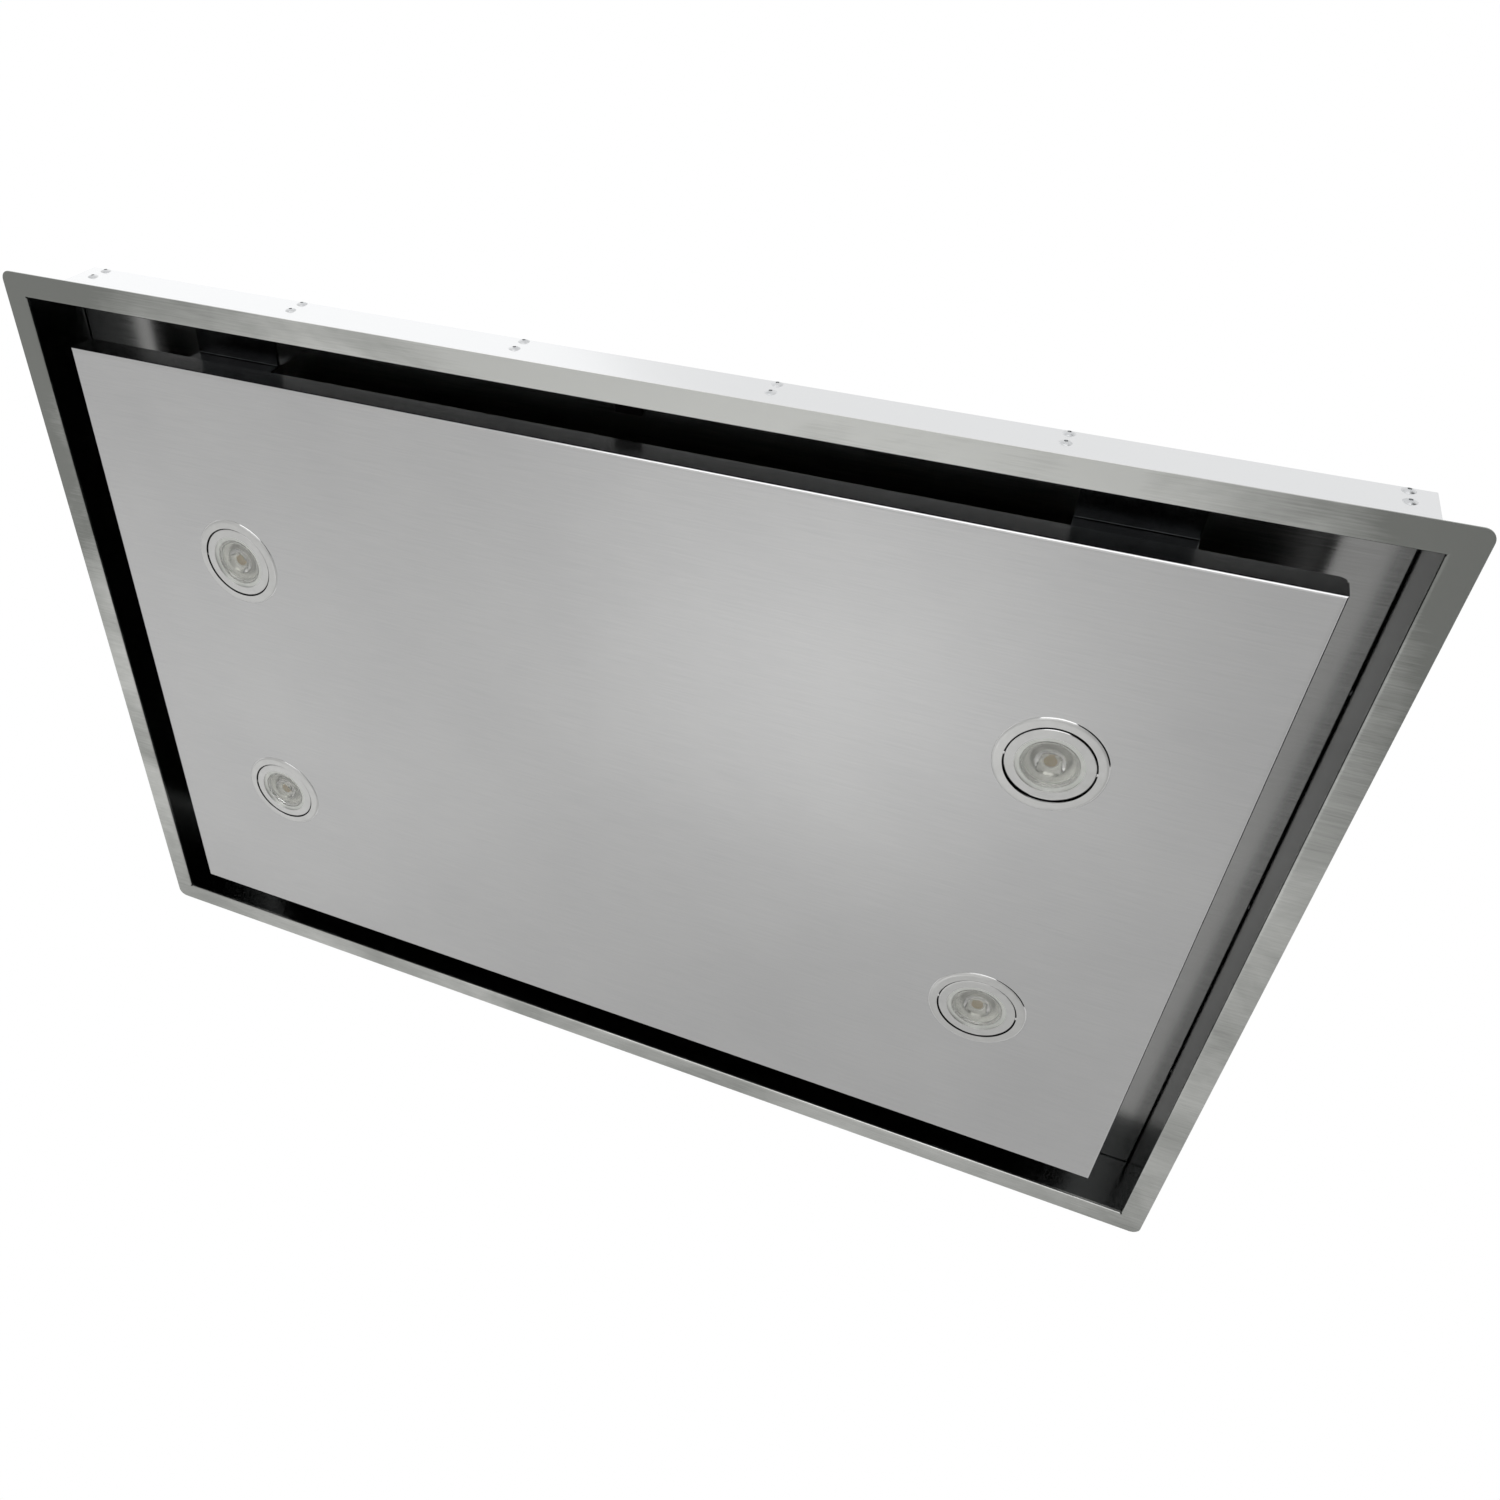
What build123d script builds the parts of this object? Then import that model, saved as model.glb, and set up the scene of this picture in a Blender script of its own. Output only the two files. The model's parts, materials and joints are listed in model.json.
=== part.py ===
from build123d import *
import math
import os

os.makedirs("parts", exist_ok=True)

# Ceiling range hood, in millimetres. X runs along the long side, with the left end at -X.
# The front long side is at -Y and the rear at +Y. Z is up, into the ceiling.
# The origin is the middle of the ceiling cut-out, level with the ceiling's lower face,
# so the flange lies just below Z = 0 and everything else stands above it.

# ---------------------------------------------------------------- frame and its flange
flange_length = 1060.0
flange_width = 700.0
flange_land = 19.5  # from the flange's outer edge to the opening
flange_corner = 8.0
frame_sheet = 1.0
frame_bend = 2.0  # outside radius where the flange turns up into the wall
frame_over_lip = 0.5  # the walls end this far above the tray's lip
corner_relief = 0.8  # radius of the relief at each inner corner, less than the sheet, so it shows no light

# ---------------------------------------------------------------- intake tray, the roof of the well
tray_sheet = 1.0
tray_level = 57.0  # underside of the tray above the ceiling
tray_gap = 0.2  # between the tray's lip and the frame's wall
tray_bend = 1.6  # outside radius where the tray turns up into its lip
tray_seam_x = 109.0  # butt seam in the front strip
tray_seam_width = 0.7
tray_seam_depth = 0.5

rivet_count_long = 6  # pairs along each long side
rivet_count_short = 3  # pairs along each end
rivet_end = 15.0  # from the opening's corner to the first pair
rivet_rise = 15.7  # from the lower rivet to the upper one
rivet_edge = 4.0  # from the upper rivet to the lip's top edge
rivet_shank = 2.4  # radius
rivet_head = 4.45  # radius
rivet_dome = 1.5  # height of the head
rivet_tail = 2.6  # radius of the blind end
rivet_tail_length = 2.4
rivet_tail_gap = 0.1  # between the blind end and the tray's bend
rivet_mandrel = 1.3  # radius of the hole that the mandrel leaves
rivet_pit = 1.0  # depth of that hole
hole_play = 0.1  # radial room round a rivet or screw

# ---------------------------------------------------------------- grease filters and their bays
bay_width = 302.0
bay_length = 384.0
bay_web = 30.0  # between the two bays
bay_upstand = 10.0  # height of the rim round each filter
front_ledge = 6.0  # overlap that carries the filter's front edge
rear_ledge = 10.0  # overlap that carries its rear edge
filter_side_gap = 1.0
filter_end_gap = 0.3
filter_travel = 8.0  # how far a filter is pushed back to free its front edge
filter_depth = 9.0
filter_lip = 16.0  # width of the channel's lips over the mesh
filter_sheet = 0.8
filter_mesh_gap = 0.2
handle_length = 70.0
handle_width = 8.0
handle_sheet = 1.2
handle_drop = 13.0
handle_foot = 11.0

# ---------------------------------------------------------------- suction panel
slot_ends = 36.0  # intake gap between the panel and the opening's ends
slot_sides = 34.3  # intake gap along the long sides
panel_sheet = 1.0
panel_proud = 2.2  # the panel's face below the flange's face
panel_return = 24.0  # height of the turned-up edges
panel_bend = 2.6
panel_ear = 6.5  # radius at the top corners of the turned-up edges
stiffener_width = 28.0
stiffener_height = 12.0
stiffener_foot = 9.0
stiffener_sheet = 0.8
stiffener_gap = 2.0  # from the stiffener to the feet of the lamp clips
stiffener_end = 45.0  # from the panel's end to the stiffener's end

# ---------------------------------------------------------------- brackets, hinges and catches
bracket_inset = 121.5  # bracket's middle in from the panel's end
bracket_width = 78.0
bracket_sheet = 1.5
bracket_bend = 2.5
hinge_inset = 15.0  # hinge pin in from the panel's edge
hinge_rise = 36.0  # hinge pin above the panel's face
hinge_pin_radius = 2.5
hinge_pin_end = 1.0  # how far the pin stands out of its bracket
hinge_play = 0.05  # radial running clearance
hinge_press = 0.02  # radial clearance where the pin is held fast
knuckle_wall = 2.0
knuckle_length = 29.4  # the leaf's own knuckle
knuckle_gap = 0.4
leaf_sheet = 1.5
leaf_foot = 20.0
catch_rise = 15.2  # bolt's axis above the panel's face
catch_bolt_radius = 4.0
catch_bolt_length = 28.0
catch_travel = 4.0
catch_window_gap = 0.5  # round the bolt where it passes the bracket
catch_width = 26.0
catch_height = 18.0
catch_room = 5.6  # left behind the bolt when it is drawn back
catch_wall = 3.0
catch_nose_gap = 0.4  # from the bolt's nose to the panel's turned-up edge
catch_spring_radius = 2.6
catch_spring_wire = 0.6
catch_spring_gap = 0.3
catch_well = 18.0  # depth of the bore in the bolt's back
keeper_width = 44.0
keeper_window = 12.0
keeper_window_height = 6.8
keeper_top = 2.0  # above the panel's turned-up edge
keeper_foot = 16.0
keeper_stop = 0.4  # height of the keeper's heel behind its plate

# ---------------------------------------------------------------- tilting downlights
lamp_inset_x = 131.1  # lamp's axis in from the panel's end
lamp_inset_y = 167.3  # lamp's axis in from the panel's long edge
lens_radius = 20.3
lens_gap = 0.2
lens_height = 3.2
lens_centre = 10.2  # radius of the lens's raised middle
lens_step = 0.6
module_rim = 3.5  # the module's face seen round the lens
module_gap = 0.2
module_collar = 7.5  # height of the module's smooth collar
module_height = 30.0
module_core = 15.0
module_floor = 2.0  # ledge that the lens rests on
reflector_depth = 6.0
chip_radius = 6.0
chip_rise = 1.0
fin_count = 18
fin_sheet = 1.0
fin_inset = 1.0  # fins inside the smooth collar
gimbal_face = 7.3  # width of the ring's face
gimbal_half = 3.0  # half height of the rounded rim
gimbal_edge = 1.0  # radius of the rim's lower edge
gimbal_recess = 0.4  # the ring's face above the bezel's face
gimbal_lip = 1.2
gimbal_ledge = 1.2  # lip's overlap under the module
gimbal_wall = 1.6
gimbal_sleeve_top = 9.0  # above the pivot
gimbal_stud = 1.5  # radius of the two pivot studs
stud_play = 0.06
stud_end_gap = 0.6
stud_root = 2.0  # how deep each stud is set in the rim
bezel_gap = 0.9  # dark ring between the bezel and the tilting ring
bezel_wall = 2.5
bezel_flange = 5.0
bezel_face = 1.5  # how far the bezel stands below the panel
bezel_depth = 11.0
bezel_rim_width = 2.4  # how far in from its edge the bezel's face starts to curve
bezel_rim_height = 1.4  # how far that curve rises towards the panel
bezel_land = 0.1  # least straight height left above that curve
lamp_panel_gap = 0.3  # radial room in the panel's hole
clip_width = 9.0
clip_sheet = 0.7
clip_reach = 11.0
clip_toe = 3.0
clip_gap = 0.1
clip_top_gap = 1.0  # clip's shoulder below the bezel's top
clip_lift = 2.5  # clip's inner leg above the panel's floor
front_right_tilt = -3.0  # this lamp's ring is left slightly turned, front edge down

# ---------------------------------------------------------------- fan housing above the tray
housing_room_x = 13.0  # from the bays' outer edges to the housing's ends
housing_room_y = 43.0  # from the bays' ends to the housing's long walls
housing_sheet = 1.0
housing_foot = 18.0
housing_collar = 15.0
housing_corner = 3.0
housing_foot_screws_x = 5
housing_foot_screws_y = 3
housing_top_screws_x = 5
housing_top_screws_y = 2
end_screw_span = 200.0  # length of the screw rows across the ends
screw_radius = 2.0
screw_head_radius = 4.0
screw_head = 2.4
screw_tail = 3.0

suspension_y = 180.0
suspension_width = 50.0
suspension_leg = 50.0
suspension_sheet = 2.5
suspension_down = 8.0  # bracket's top below the housing's top
slot_radius = 4.5
slot_length = 25.0
slot_out = 25.0  # slot's centre from the housing's wall
slot_edge = 8.5  # from the slot's end to the bracket's edge

# ---------------------------------------------------------------- motor
motor_radius = 58.0
motor_length = 103.7
motor_flange = 10.0  # how far the motor's flange stands out
motor_flange_height = 8.0
motor_shoulder = 4.0  # slope of the motor's lower end
motor_neck_radius = 22.0
motor_neck = 6.0  # height of the bearing housing
motor_vents = 16
motor_vent_width = 4.0
motor_vent_depth = 2.5
motor_vent_inset = 12.0  # from the casing's ends to the vents
motor_gap = 3.0  # between the motor's lower end and the hub
motor_side_gap = 6.5  # between the motor and the impeller's cup
motor_hole_gap = 7.0  # round the motor's flange in the casing's top
motor_plate_overlap = 17.0
motor_plate_sheet = 2.0
motor_plate_holes = 6
motor_plate_hole_radius = 9.0
motor_plate_hole_circle = 32.0
shaft_radius = 5.0
shaft_play = 0.05
shaft_press = 0.02
shaft_in_motor = 36.0
shaft_end_gap = 1.0
shaft_nut = 8.5
shaft_nut_height = 5.0
shaft_tip = 1.0  # thread left below the nut

# ---------------------------------------------------------------- impeller and scroll casing
impeller_radius = 115.0
impeller_sheet = 1.5
blade_height = 120.0
blade_depth = 21.0
blade_count = 40
blade_sheet = 1.2
blade_lean = 3.0  # degrees round the shaft at half depth
blade_sweep = 10.0  # degrees round the shaft at the tip
eye_ring_width = 14.0
boss_radius = 13.0
boss_below = 12.0
boss_above = 7.0
intake_room = 46.0  # above the tray and below the blower
scroll_sheet = 1.2
scroll_cutoff = 10.0  # between the impeller and the casing where the spiral starts
scroll_growth = 80.0  # how far the spiral opens up on its way round
scroll_arcs = 6
scroll_under = 8.0  # below the impeller
scroll_over = 20.0  # above the impeller
scroll_wall_gap = 0.3
scroll_front_gap = 12.0
outlet_x = 0.0
outlet_width = 150.0
inlet_step = 4.0  # the inlet's radius inside the blades
inlet_flange = 22.0
inlet_rise = 13.0
inlet_flare = 4.8
inlet_gap = 0.4
mount_radius = 12.0
mount_height = 34.8
mount_waist = 3.0
mount_band = 7.0  # height of the straight part at each end
mount_gap = 12.0  # from the motor plate's edge
capacitor_radius = 15.0
capacitor_length = 62.0
capacitor_clip = 1.2  # sheet of the clip round the can
capacitor_clip_width = 12.0
capacitor_foot = 9.0
capacitor_inset = 84.0  # in front of the housing's rear wall

# ---------------------------------------------------------------- outlet collar with its dampers
collar_radius = 74.5
collar_wall = 1.5
collar_length = 60.0
collar_flange = 17.5
collar_corner = 8.0
collar_plate_sheet = 1.5
collar_screw_inset = 9.0
damper_level = 17.0  # damper pin beyond the housing's wall
damper_pin_radius = 2.0
damper_pin_inset = 0.3  # the pin's ends inside the collar's outer face
damper_play = 0.05
damper_hub = 3.6
damper_hubs = 4
damper_hub_inset = 6.0
damper_gap = 1.5
damper_sheet = 1.0
damper_hub_gap = 0.4
damper_bridge = 1.0

# ---------------------------------------------------------------- electrics
control_length = 140.0
control_width = 100.0
control_wall = 2.0
control_corner = 2.0
control_gap = 19.0  # from the box to the housing's right-hand end
control_y = -20.0
control_room = 5.4  # below the tallest component
board_gap = 3.0
board_sheet = 1.6
board_post = 22.0
post_radius = 3.0
post_inset = 12.0
relay_count = 4
relay_length = 15.0
relay_width = 14.0
relay_height = 12.0
relay_span = 62.0
relay_row = 26.0  # row of relays in front of the box's middle
transformer_length = 35.0
transformer_width = 32.0
transformer_height = 14.0
transformer_side = 32.0  # from the box's middle, to the left
terminal_length = 50.0
terminal_width = 12.0
terminal_height = 10.0
parts_row = 18.0  # transformer and terminals behind the box's middle
gland_drop = 26.0  # below the housing's top
gland_radius = 8.0
gland_bore = 4.5
gland_nut = 12.0
gland_nut_height = 7.0
gland_locknut_height = 4.0
gland_length = 20.0
gland_inside = 8.0
driver_length = 140.0
driver_width = 42.0
driver_height = 26.0
driver_corner = 2.0
driver_gap = 14.0  # from the housing's foot
driver_tab = 12.0
driver_tab_width = 21.0
driver_tab_sheet = 2.0
receiver_x = -4.0
receiver_size = 20.5
receiver_inset = 9.5  # from the wall
receiver_below = 2.5
receiver_above = 18.0
receiver_gap = 0.2
receiver_flange = 4.0
receiver_flange_sheet = 2.0

overrun = 2.0  # how far a cut runs past the face that it opens

# ---------------------------------------------------------------- sizes that follow from those
opening_length = flange_length - 2 * flange_land
opening_width = flange_width - 2 * flange_land
wall_length = opening_length + 2 * frame_sheet
wall_width = opening_width + 2 * frame_sheet
tray_length = opening_length - 2 * tray_gap
tray_width = opening_width - 2 * tray_gap
tray_top = tray_level + tray_sheet
rivet_low = tray_bend + rivet_tail + rivet_tail_gap
rivet_grip = frame_sheet + tray_gap + tray_sheet
tray_lip = rivet_low + rivet_rise + rivet_edge
frame_height = tray_level + tray_lip + frame_over_lip
panel_length = opening_length - 2 * slot_ends
panel_width = opening_width - 2 * slot_sides
panel_face = -frame_sheet - panel_proud
panel_floor = panel_face + panel_sheet
return_top = panel_face + panel_return
bay_x = (bay_web + bay_width) / 2
filter_front = -bay_length / 2 - front_ledge
filter_rear = bay_length / 2 + rear_ledge
filter_width = bay_width - 2 * filter_side_gap
bracket_x = panel_length / 2 - bracket_inset
hinge_y = panel_width / 2 - hinge_inset
hinge_z = panel_face + hinge_rise
knuckle_radius = hinge_pin_radius + hinge_play + knuckle_wall
tongue_far = hinge_y + knuckle_radius
tongue_near = tongue_far - bracket_sheet
catch_z = panel_face + catch_rise
nose_y = -(panel_width / 2 - panel_sheet - catch_nose_gap)
bolt_back = nose_y + catch_bolt_length
catch_back = bolt_back + catch_travel + catch_room + catch_wall
receiver_y = -opening_width / 2 + receiver_inset + receiver_size / 2

lamp_x = panel_length / 2 - lamp_inset_x
lamp_y = panel_width / 2 - lamp_inset_y
module_radius = lens_radius + lens_gap + module_rim
seat_radius = module_radius + gimbal_ledge
sleeve_radius = seat_radius + gimbal_wall
gimbal_radius = module_radius + gimbal_face
bezel_bore = gimbal_radius + bezel_gap
bezel_tube = bezel_bore + bezel_wall
bezel_radius = bezel_tube + bezel_flange
pivot_z = panel_face - bezel_face + gimbal_recess + gimbal_half
clip_foot = bezel_tube + clip_gap + clip_reach
stiffener_y = lamp_y - clip_foot - clip_toe - stiffener_gap - stiffener_foot - stiffener_width / 2

housing_length = 2 * bay_width + bay_web + 2 * housing_room_x
housing_width = bay_length + 2 * housing_room_y
housing_x = housing_length / 2
housing_y = housing_width / 2
suspension_reach = slot_out + slot_length / 2 + slot_edge

scroll_start = impeller_radius + scroll_cutoff
scroll_end = scroll_start + scroll_growth
scroll_level = tray_top + intake_room
scroll_height = scroll_under + blade_height + scroll_over
scroll_top_level = scroll_level + scroll_height
scroll_mouth = housing_y - housing_sheet - scroll_wall_gap
outlet_z = (scroll_level + scroll_sheet + scroll_top_level) / 2
blade_bottom = scroll_level + scroll_under
blade_top = blade_bottom + blade_height
eye_radius = impeller_radius - blade_depth
inlet_radius = eye_radius - inlet_step
motor_top = scroll_top_level + scroll_sheet
motor_low = motor_top - motor_length
cup_floor = motor_low - motor_gap - boss_above - impeller_sheet
cup_radius = motor_radius + motor_side_gap + impeller_sheet
motor_hole = motor_radius + motor_flange + motor_hole_gap
motor_plate_radius = motor_hole + motor_plate_overlap
mount_circle = motor_plate_radius + mount_gap + mount_radius
housing_top_level = motor_top + mount_height
suspension_top = housing_top_level - suspension_down
collar_plate = 2 * (collar_radius + collar_flange)
collar_screw = collar_plate / 2 - collar_screw_inset
damper_y = housing_y + damper_level
damper_radius = collar_radius - collar_wall - damper_gap

control_x = housing_x - housing_sheet - control_gap - control_length / 2
board_level = housing_top_level - control_wall - board_post
control_low = board_level - board_sheet - transformer_height - control_room
gland_z = housing_top_level - gland_drop
driver_x = housing_x + housing_foot + driver_gap + driver_width / 2

SIDES = (("left", -1), ("right", 1))
LAMPS = (
    ("front_left", -1, -1, 0.0),
    ("front_right", 1, -1, front_right_tilt),
    ("rear_left", -1, 1, 0.0),
    ("rear_right", 1, 1, 0.0),
)


# ---------------------------------------------------------------- shared helpers
def save(piece, name):
    piece.part.label = name
    export_step(piece.part, f"parts/{name}.step")


def block(low, high, mode=Mode.ADD):
    """A box from its low corner to its high corner."""
    sizes = [top - bottom for bottom, top in zip(low, high)]
    middle = [(top + bottom) / 2 for bottom, top in zip(low, high)]
    with Locations(tuple(middle)):
        Box(*sizes, mode=mode)


def rod(start, direction, length, radius, mode=Mode.ADD):
    """A round bar from its start point along a direction."""
    with BuildSketch(Plane(origin=start, z_dir=direction)) as end:
        Circle(radius)
    extrude(end.sketch, amount=length, mode=mode)


def hole(middle, direction, thickness, radius):
    """A round hole through a wall whose middle plane and thickness are given."""
    reach = thickness / 2 + overrun
    start = Vector(*middle) - Vector(*direction) * reach
    rod(start, direction, 2 * reach, radius, Mode.SUBTRACT)


def turned(outline, plane, mode=Mode.ADD):
    """A closed outline of (radius, height) points, turned about the plane's normal."""
    section = Plane(origin=plane.origin, x_dir=plane.x_dir, z_dir=-plane.y_dir)
    with BuildSketch(section) as profile:
        with BuildLine():
            Polyline(*outline, close=True)
        make_face()
    revolve(profile.sketch, axis=Axis(plane.origin, plane.z_dir), mode=mode)


def spread(count, span):
    """Evenly spaced places, centred on zero, from -span/2 to span/2."""
    return [span * (i / (count - 1) - 0.5) for i in range(count)]


def rim(length, width, wall, bottom, top):
    """An upright rectangular ring. Its outer size and the thickness of its wall are given."""
    with BuildSketch(Plane.XY.offset(bottom)) as ring:
        Rectangle(length, width)
        Rectangle(length - 2 * wall, width - 2 * wall, mode=Mode.SUBTRACT)
    extrude(ring.sketch, amount=top - bottom)


def straight_at(edges, level, length, width):
    """The four straight edges of a centred rectangle at one height."""
    chosen = []
    for edge in edges.filter_by(GeomType.LINE):
        middle = edge.center()
        along_x = abs(abs(middle.Y) - width / 2) < 1e-4 and abs(middle.X) < 1e-4
        along_y = abs(abs(middle.X) - length / 2) < 1e-4 and abs(middle.Y) < 1e-4
        if abs(middle.Z - level) < 1e-4 and (along_x or along_y):
            chosen.append(edge)
    return chosen


def open_box(length, width, bottom, height, sheet, bend):
    """A rectangular pan of folded sheet that is open at the top, with rounded folds."""
    with BuildSketch(Plane.XY.offset(bottom)) as outside:
        Rectangle(length, width)
    with BuildPart(mode=Mode.PRIVATE) as shell:
        extrude(outside.sketch, amount=height)
        fillet(straight_at(shell.edges(), bottom, length, width), bend)
    inner_length = length - 2 * sheet
    inner_width = width - 2 * sheet
    with BuildSketch(Plane.XY.offset(bottom + sheet)) as inside:
        Rectangle(inner_length, inner_width)
    with BuildPart(mode=Mode.PRIVATE) as hollow:
        extrude(inside.sketch, amount=height)
        fillet(straight_at(hollow.edges(), bottom + sheet, inner_length, inner_width), bend - sheet)
    add(shell.part)
    add(hollow.part, mode=Mode.SUBTRACT)


# ---------------------------------------------------------------- places of the rivets and screws
def rivet_planes():
    """A plane on the wall's outer face for each rivet, with its normal pointing outwards."""
    pitch = (opening_length - 2 * rivet_end) / (rivet_count_long - 1)
    planes = []
    for z in (tray_level + rivet_low, tray_level + rivet_low + rivet_rise):
        for side in (-1, 1):
            for x in spread(rivet_count_long, pitch * (rivet_count_long - 1)):
                planes.append(Plane(origin=(x, side * wall_width / 2, z), z_dir=(0, side, 0)))
            for y in spread(rivet_count_short, pitch * (rivet_count_short - 1)):
                planes.append(Plane(origin=(side * wall_length / 2, y, z), z_dir=(side, 0, 0)))
    return planes


def ring_points(length, width, count_x, count_y, span_x, span_y):
    """Points on the four sides of a rectangle, spread over a span along each side."""
    long_sides = [(x, side * width / 2) for x in spread(count_x, span_x) for side in (-1, 1)]
    short_sides = [(side * length / 2, y) for y in spread(count_y, span_y) for side in (-1, 1)]
    return long_sides + short_sides


rivet_places = [Location(plane) for plane in rivet_planes()]
foot_points = ring_points(
    housing_length + housing_foot,
    housing_width + housing_foot,
    housing_foot_screws_x,
    housing_foot_screws_y,
    housing_length,
    end_screw_span,
)
cover_points = ring_points(
    housing_length - housing_collar,
    housing_width - housing_collar,
    housing_top_screws_x,
    housing_top_screws_y,
    housing_length - 2 * housing_collar,
    end_screw_span,
)
collar_points = [(outlet_x + i * collar_screw, outlet_z + j * collar_screw) for i in (-1, 1) for j in (-1, 1)]


def rivet_holes():
    with Locations(*rivet_places):
        Cylinder(rivet_shank + hole_play, 2 * (rivet_grip + overrun), mode=Mode.SUBTRACT)


def screw_holes(points, level, thickness):
    """Clearance holes for upright screws through a sheet centred on a level."""
    for x, y in points:
        hole((x, y, level), (0, 0, 1), thickness, screw_radius + hole_play)


# ---------------------------------------------------------------- frame
with BuildPart() as canopy_frame:
    with BuildSketch(Plane.XY.offset(-frame_sheet)):
        RectangleRounded(flange_length, flange_width, flange_corner)
        Rectangle(opening_length, opening_width, mode=Mode.SUBTRACT)
    extrude(amount=frame_sheet)
    rim(wall_length, wall_width, frame_sheet, -frame_sheet, frame_height)
    fillet(straight_at(canopy_frame.edges(), -frame_sheet, opening_length, opening_width), frame_bend)
    fillet(straight_at(canopy_frame.edges(), 0, wall_length, wall_width), frame_bend - frame_sheet)
    for corner_x in (-opening_length / 2, opening_length / 2):
        for corner_y in (-opening_width / 2, opening_width / 2):
            hole((corner_x, corner_y, 0), (0, 0, 1), 2 * frame_bend, corner_relief)
    rivet_holes()
save(canopy_frame, "canopy_frame")

# ---------------------------------------------------------------- intake tray
with BuildPart() as intake_tray:
    open_box(tray_length, tray_width, tray_level, tray_lip, tray_sheet, tray_bend)
    pocket_front = filter_front - filter_end_gap
    pocket_rear = filter_rear + filter_travel + filter_end_gap
    for side in (-1, 1):
        bay_low = side * bay_x - bay_width / 2
        bay_high = side * bay_x + bay_width / 2
        upstand_top = tray_top + bay_upstand
        upstand_low = (bay_low - tray_sheet, pocket_front - tray_sheet, tray_top)
        block(upstand_low, (bay_high + tray_sheet, pocket_rear + tray_sheet, upstand_top))
        pocket_high = (bay_high, pocket_rear, upstand_top + overrun)
        block((bay_low, pocket_front, tray_top), pocket_high, Mode.SUBTRACT)
        bay_corner = (bay_low, -bay_length / 2, tray_level - overrun)
        block(bay_corner, (bay_high, bay_length / 2, upstand_top + overrun), Mode.SUBTRACT)
    seam_left = tray_seam_x - tray_seam_width / 2
    seam_start = (seam_left, -tray_width / 2 + tray_bend, tray_level - overrun)
    seam_end = (seam_left + tray_seam_width, overrun - bay_length / 2, tray_level + tray_seam_depth)
    block(seam_start, seam_end, Mode.SUBTRACT)
    cutout = receiver_size / 2 + receiver_gap
    cut_low = (receiver_x - cutout, receiver_y - cutout, tray_level - overrun)
    cut_high = (receiver_x + cutout, receiver_y + cutout, tray_top + overrun)
    block(cut_low, cut_high, Mode.SUBTRACT)
    rivet_holes()
    screw_holes(foot_points, tray_top, 2 * tray_sheet)
save(intake_tray, "intake_tray")

# ---------------------------------------------------------------- blind rivets
with BuildPart() as blind_rivet:
    with BuildSketch(Plane.XZ) as rivet_section:
        with BuildLine():
            dome_radius = (rivet_head**2 + rivet_dome**2) / (2 * rivet_dome)
            shoulder = math.sqrt(dome_radius**2 - rivet_mandrel**2) - dome_radius + rivet_dome
            RadiusArc((rivet_mandrel, shoulder), (rivet_head, 0), dome_radius)
            Polyline(
                (rivet_head, 0),
                (rivet_shank, 0),
                (rivet_shank, -rivet_grip),
                (rivet_tail, -rivet_grip),
                (rivet_tail, -rivet_grip - rivet_tail_length),
                (0, -rivet_grip - rivet_tail_length),
                (0, shoulder - rivet_pit),
                (rivet_mandrel, shoulder - rivet_pit),
                (rivet_mandrel, shoulder),
            )
        make_face()
    revolve(rivet_section.sketch, axis=Axis.Z)

with BuildPart() as tray_rivets:
    with Locations(*rivet_places):
        add(blind_rivet.part)
save(tray_rivets, "tray_rivets")

# ---------------------------------------------------------------- fan housing
with BuildPart() as fan_housing:
    rim(housing_length, housing_width, housing_sheet, tray_top, housing_top_level)
    foot_length = housing_length + 2 * housing_foot
    foot_width = housing_width + 2 * housing_foot
    rim(foot_length, foot_width, housing_foot + housing_sheet, tray_top, tray_top + housing_sheet)
    collar_low = housing_top_level - housing_sheet
    rim(housing_length, housing_width, housing_collar, collar_low, housing_top_level)
    rear_wall = housing_y - housing_sheet / 2
    hole((outlet_x, rear_wall, outlet_z), (0, 1, 0), housing_sheet, collar_radius - collar_wall)
    for hole_x, hole_z in collar_points:
        hole((hole_x, rear_wall, hole_z), (0, 1, 0), housing_sheet, screw_radius + hole_play)
    end_wall = housing_x - housing_sheet / 2
    hole((end_wall, control_y, gland_z), (1, 0, 0), housing_sheet, gland_radius + hole_play)
    screw_holes(foot_points, tray_top, 2 * housing_sheet)
    screw_holes(cover_points, housing_top_level, 2 * housing_sheet)
save(fan_housing, "fan_housing")

with BuildPart() as housing_top:
    with BuildSketch(Plane.XY.offset(housing_top_level)):
        RectangleRounded(housing_length, housing_width, housing_corner)
    extrude(amount=housing_sheet)
    screw_holes(cover_points, housing_top_level, 2 * housing_sheet)
save(housing_top, "housing_top")


def screw(start, direction, grip):
    """A pan-head screw. start is under its head and direction points into the work."""
    rod(start, direction, grip + screw_tail, screw_radius)
    rod(Vector(*start) - Vector(*direction) * screw_head, direction, screw_head, screw_head_radius)


with BuildPart() as housing_screws:
    for screw_x, screw_y in foot_points:
        screw((screw_x, screw_y, tray_top + housing_sheet), (0, 0, -1), housing_sheet + tray_sheet)
    for screw_x, screw_y in cover_points:
        screw((screw_x, screw_y, housing_top_level + housing_sheet), (0, 0, -1), 2 * housing_sheet)
    for screw_x, screw_z in collar_points:
        grip = collar_plate_sheet + housing_sheet
        screw((screw_x, housing_y + collar_plate_sheet, screw_z), (0, -1, 0), grip)
save(housing_screws, "housing_screws")

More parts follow.
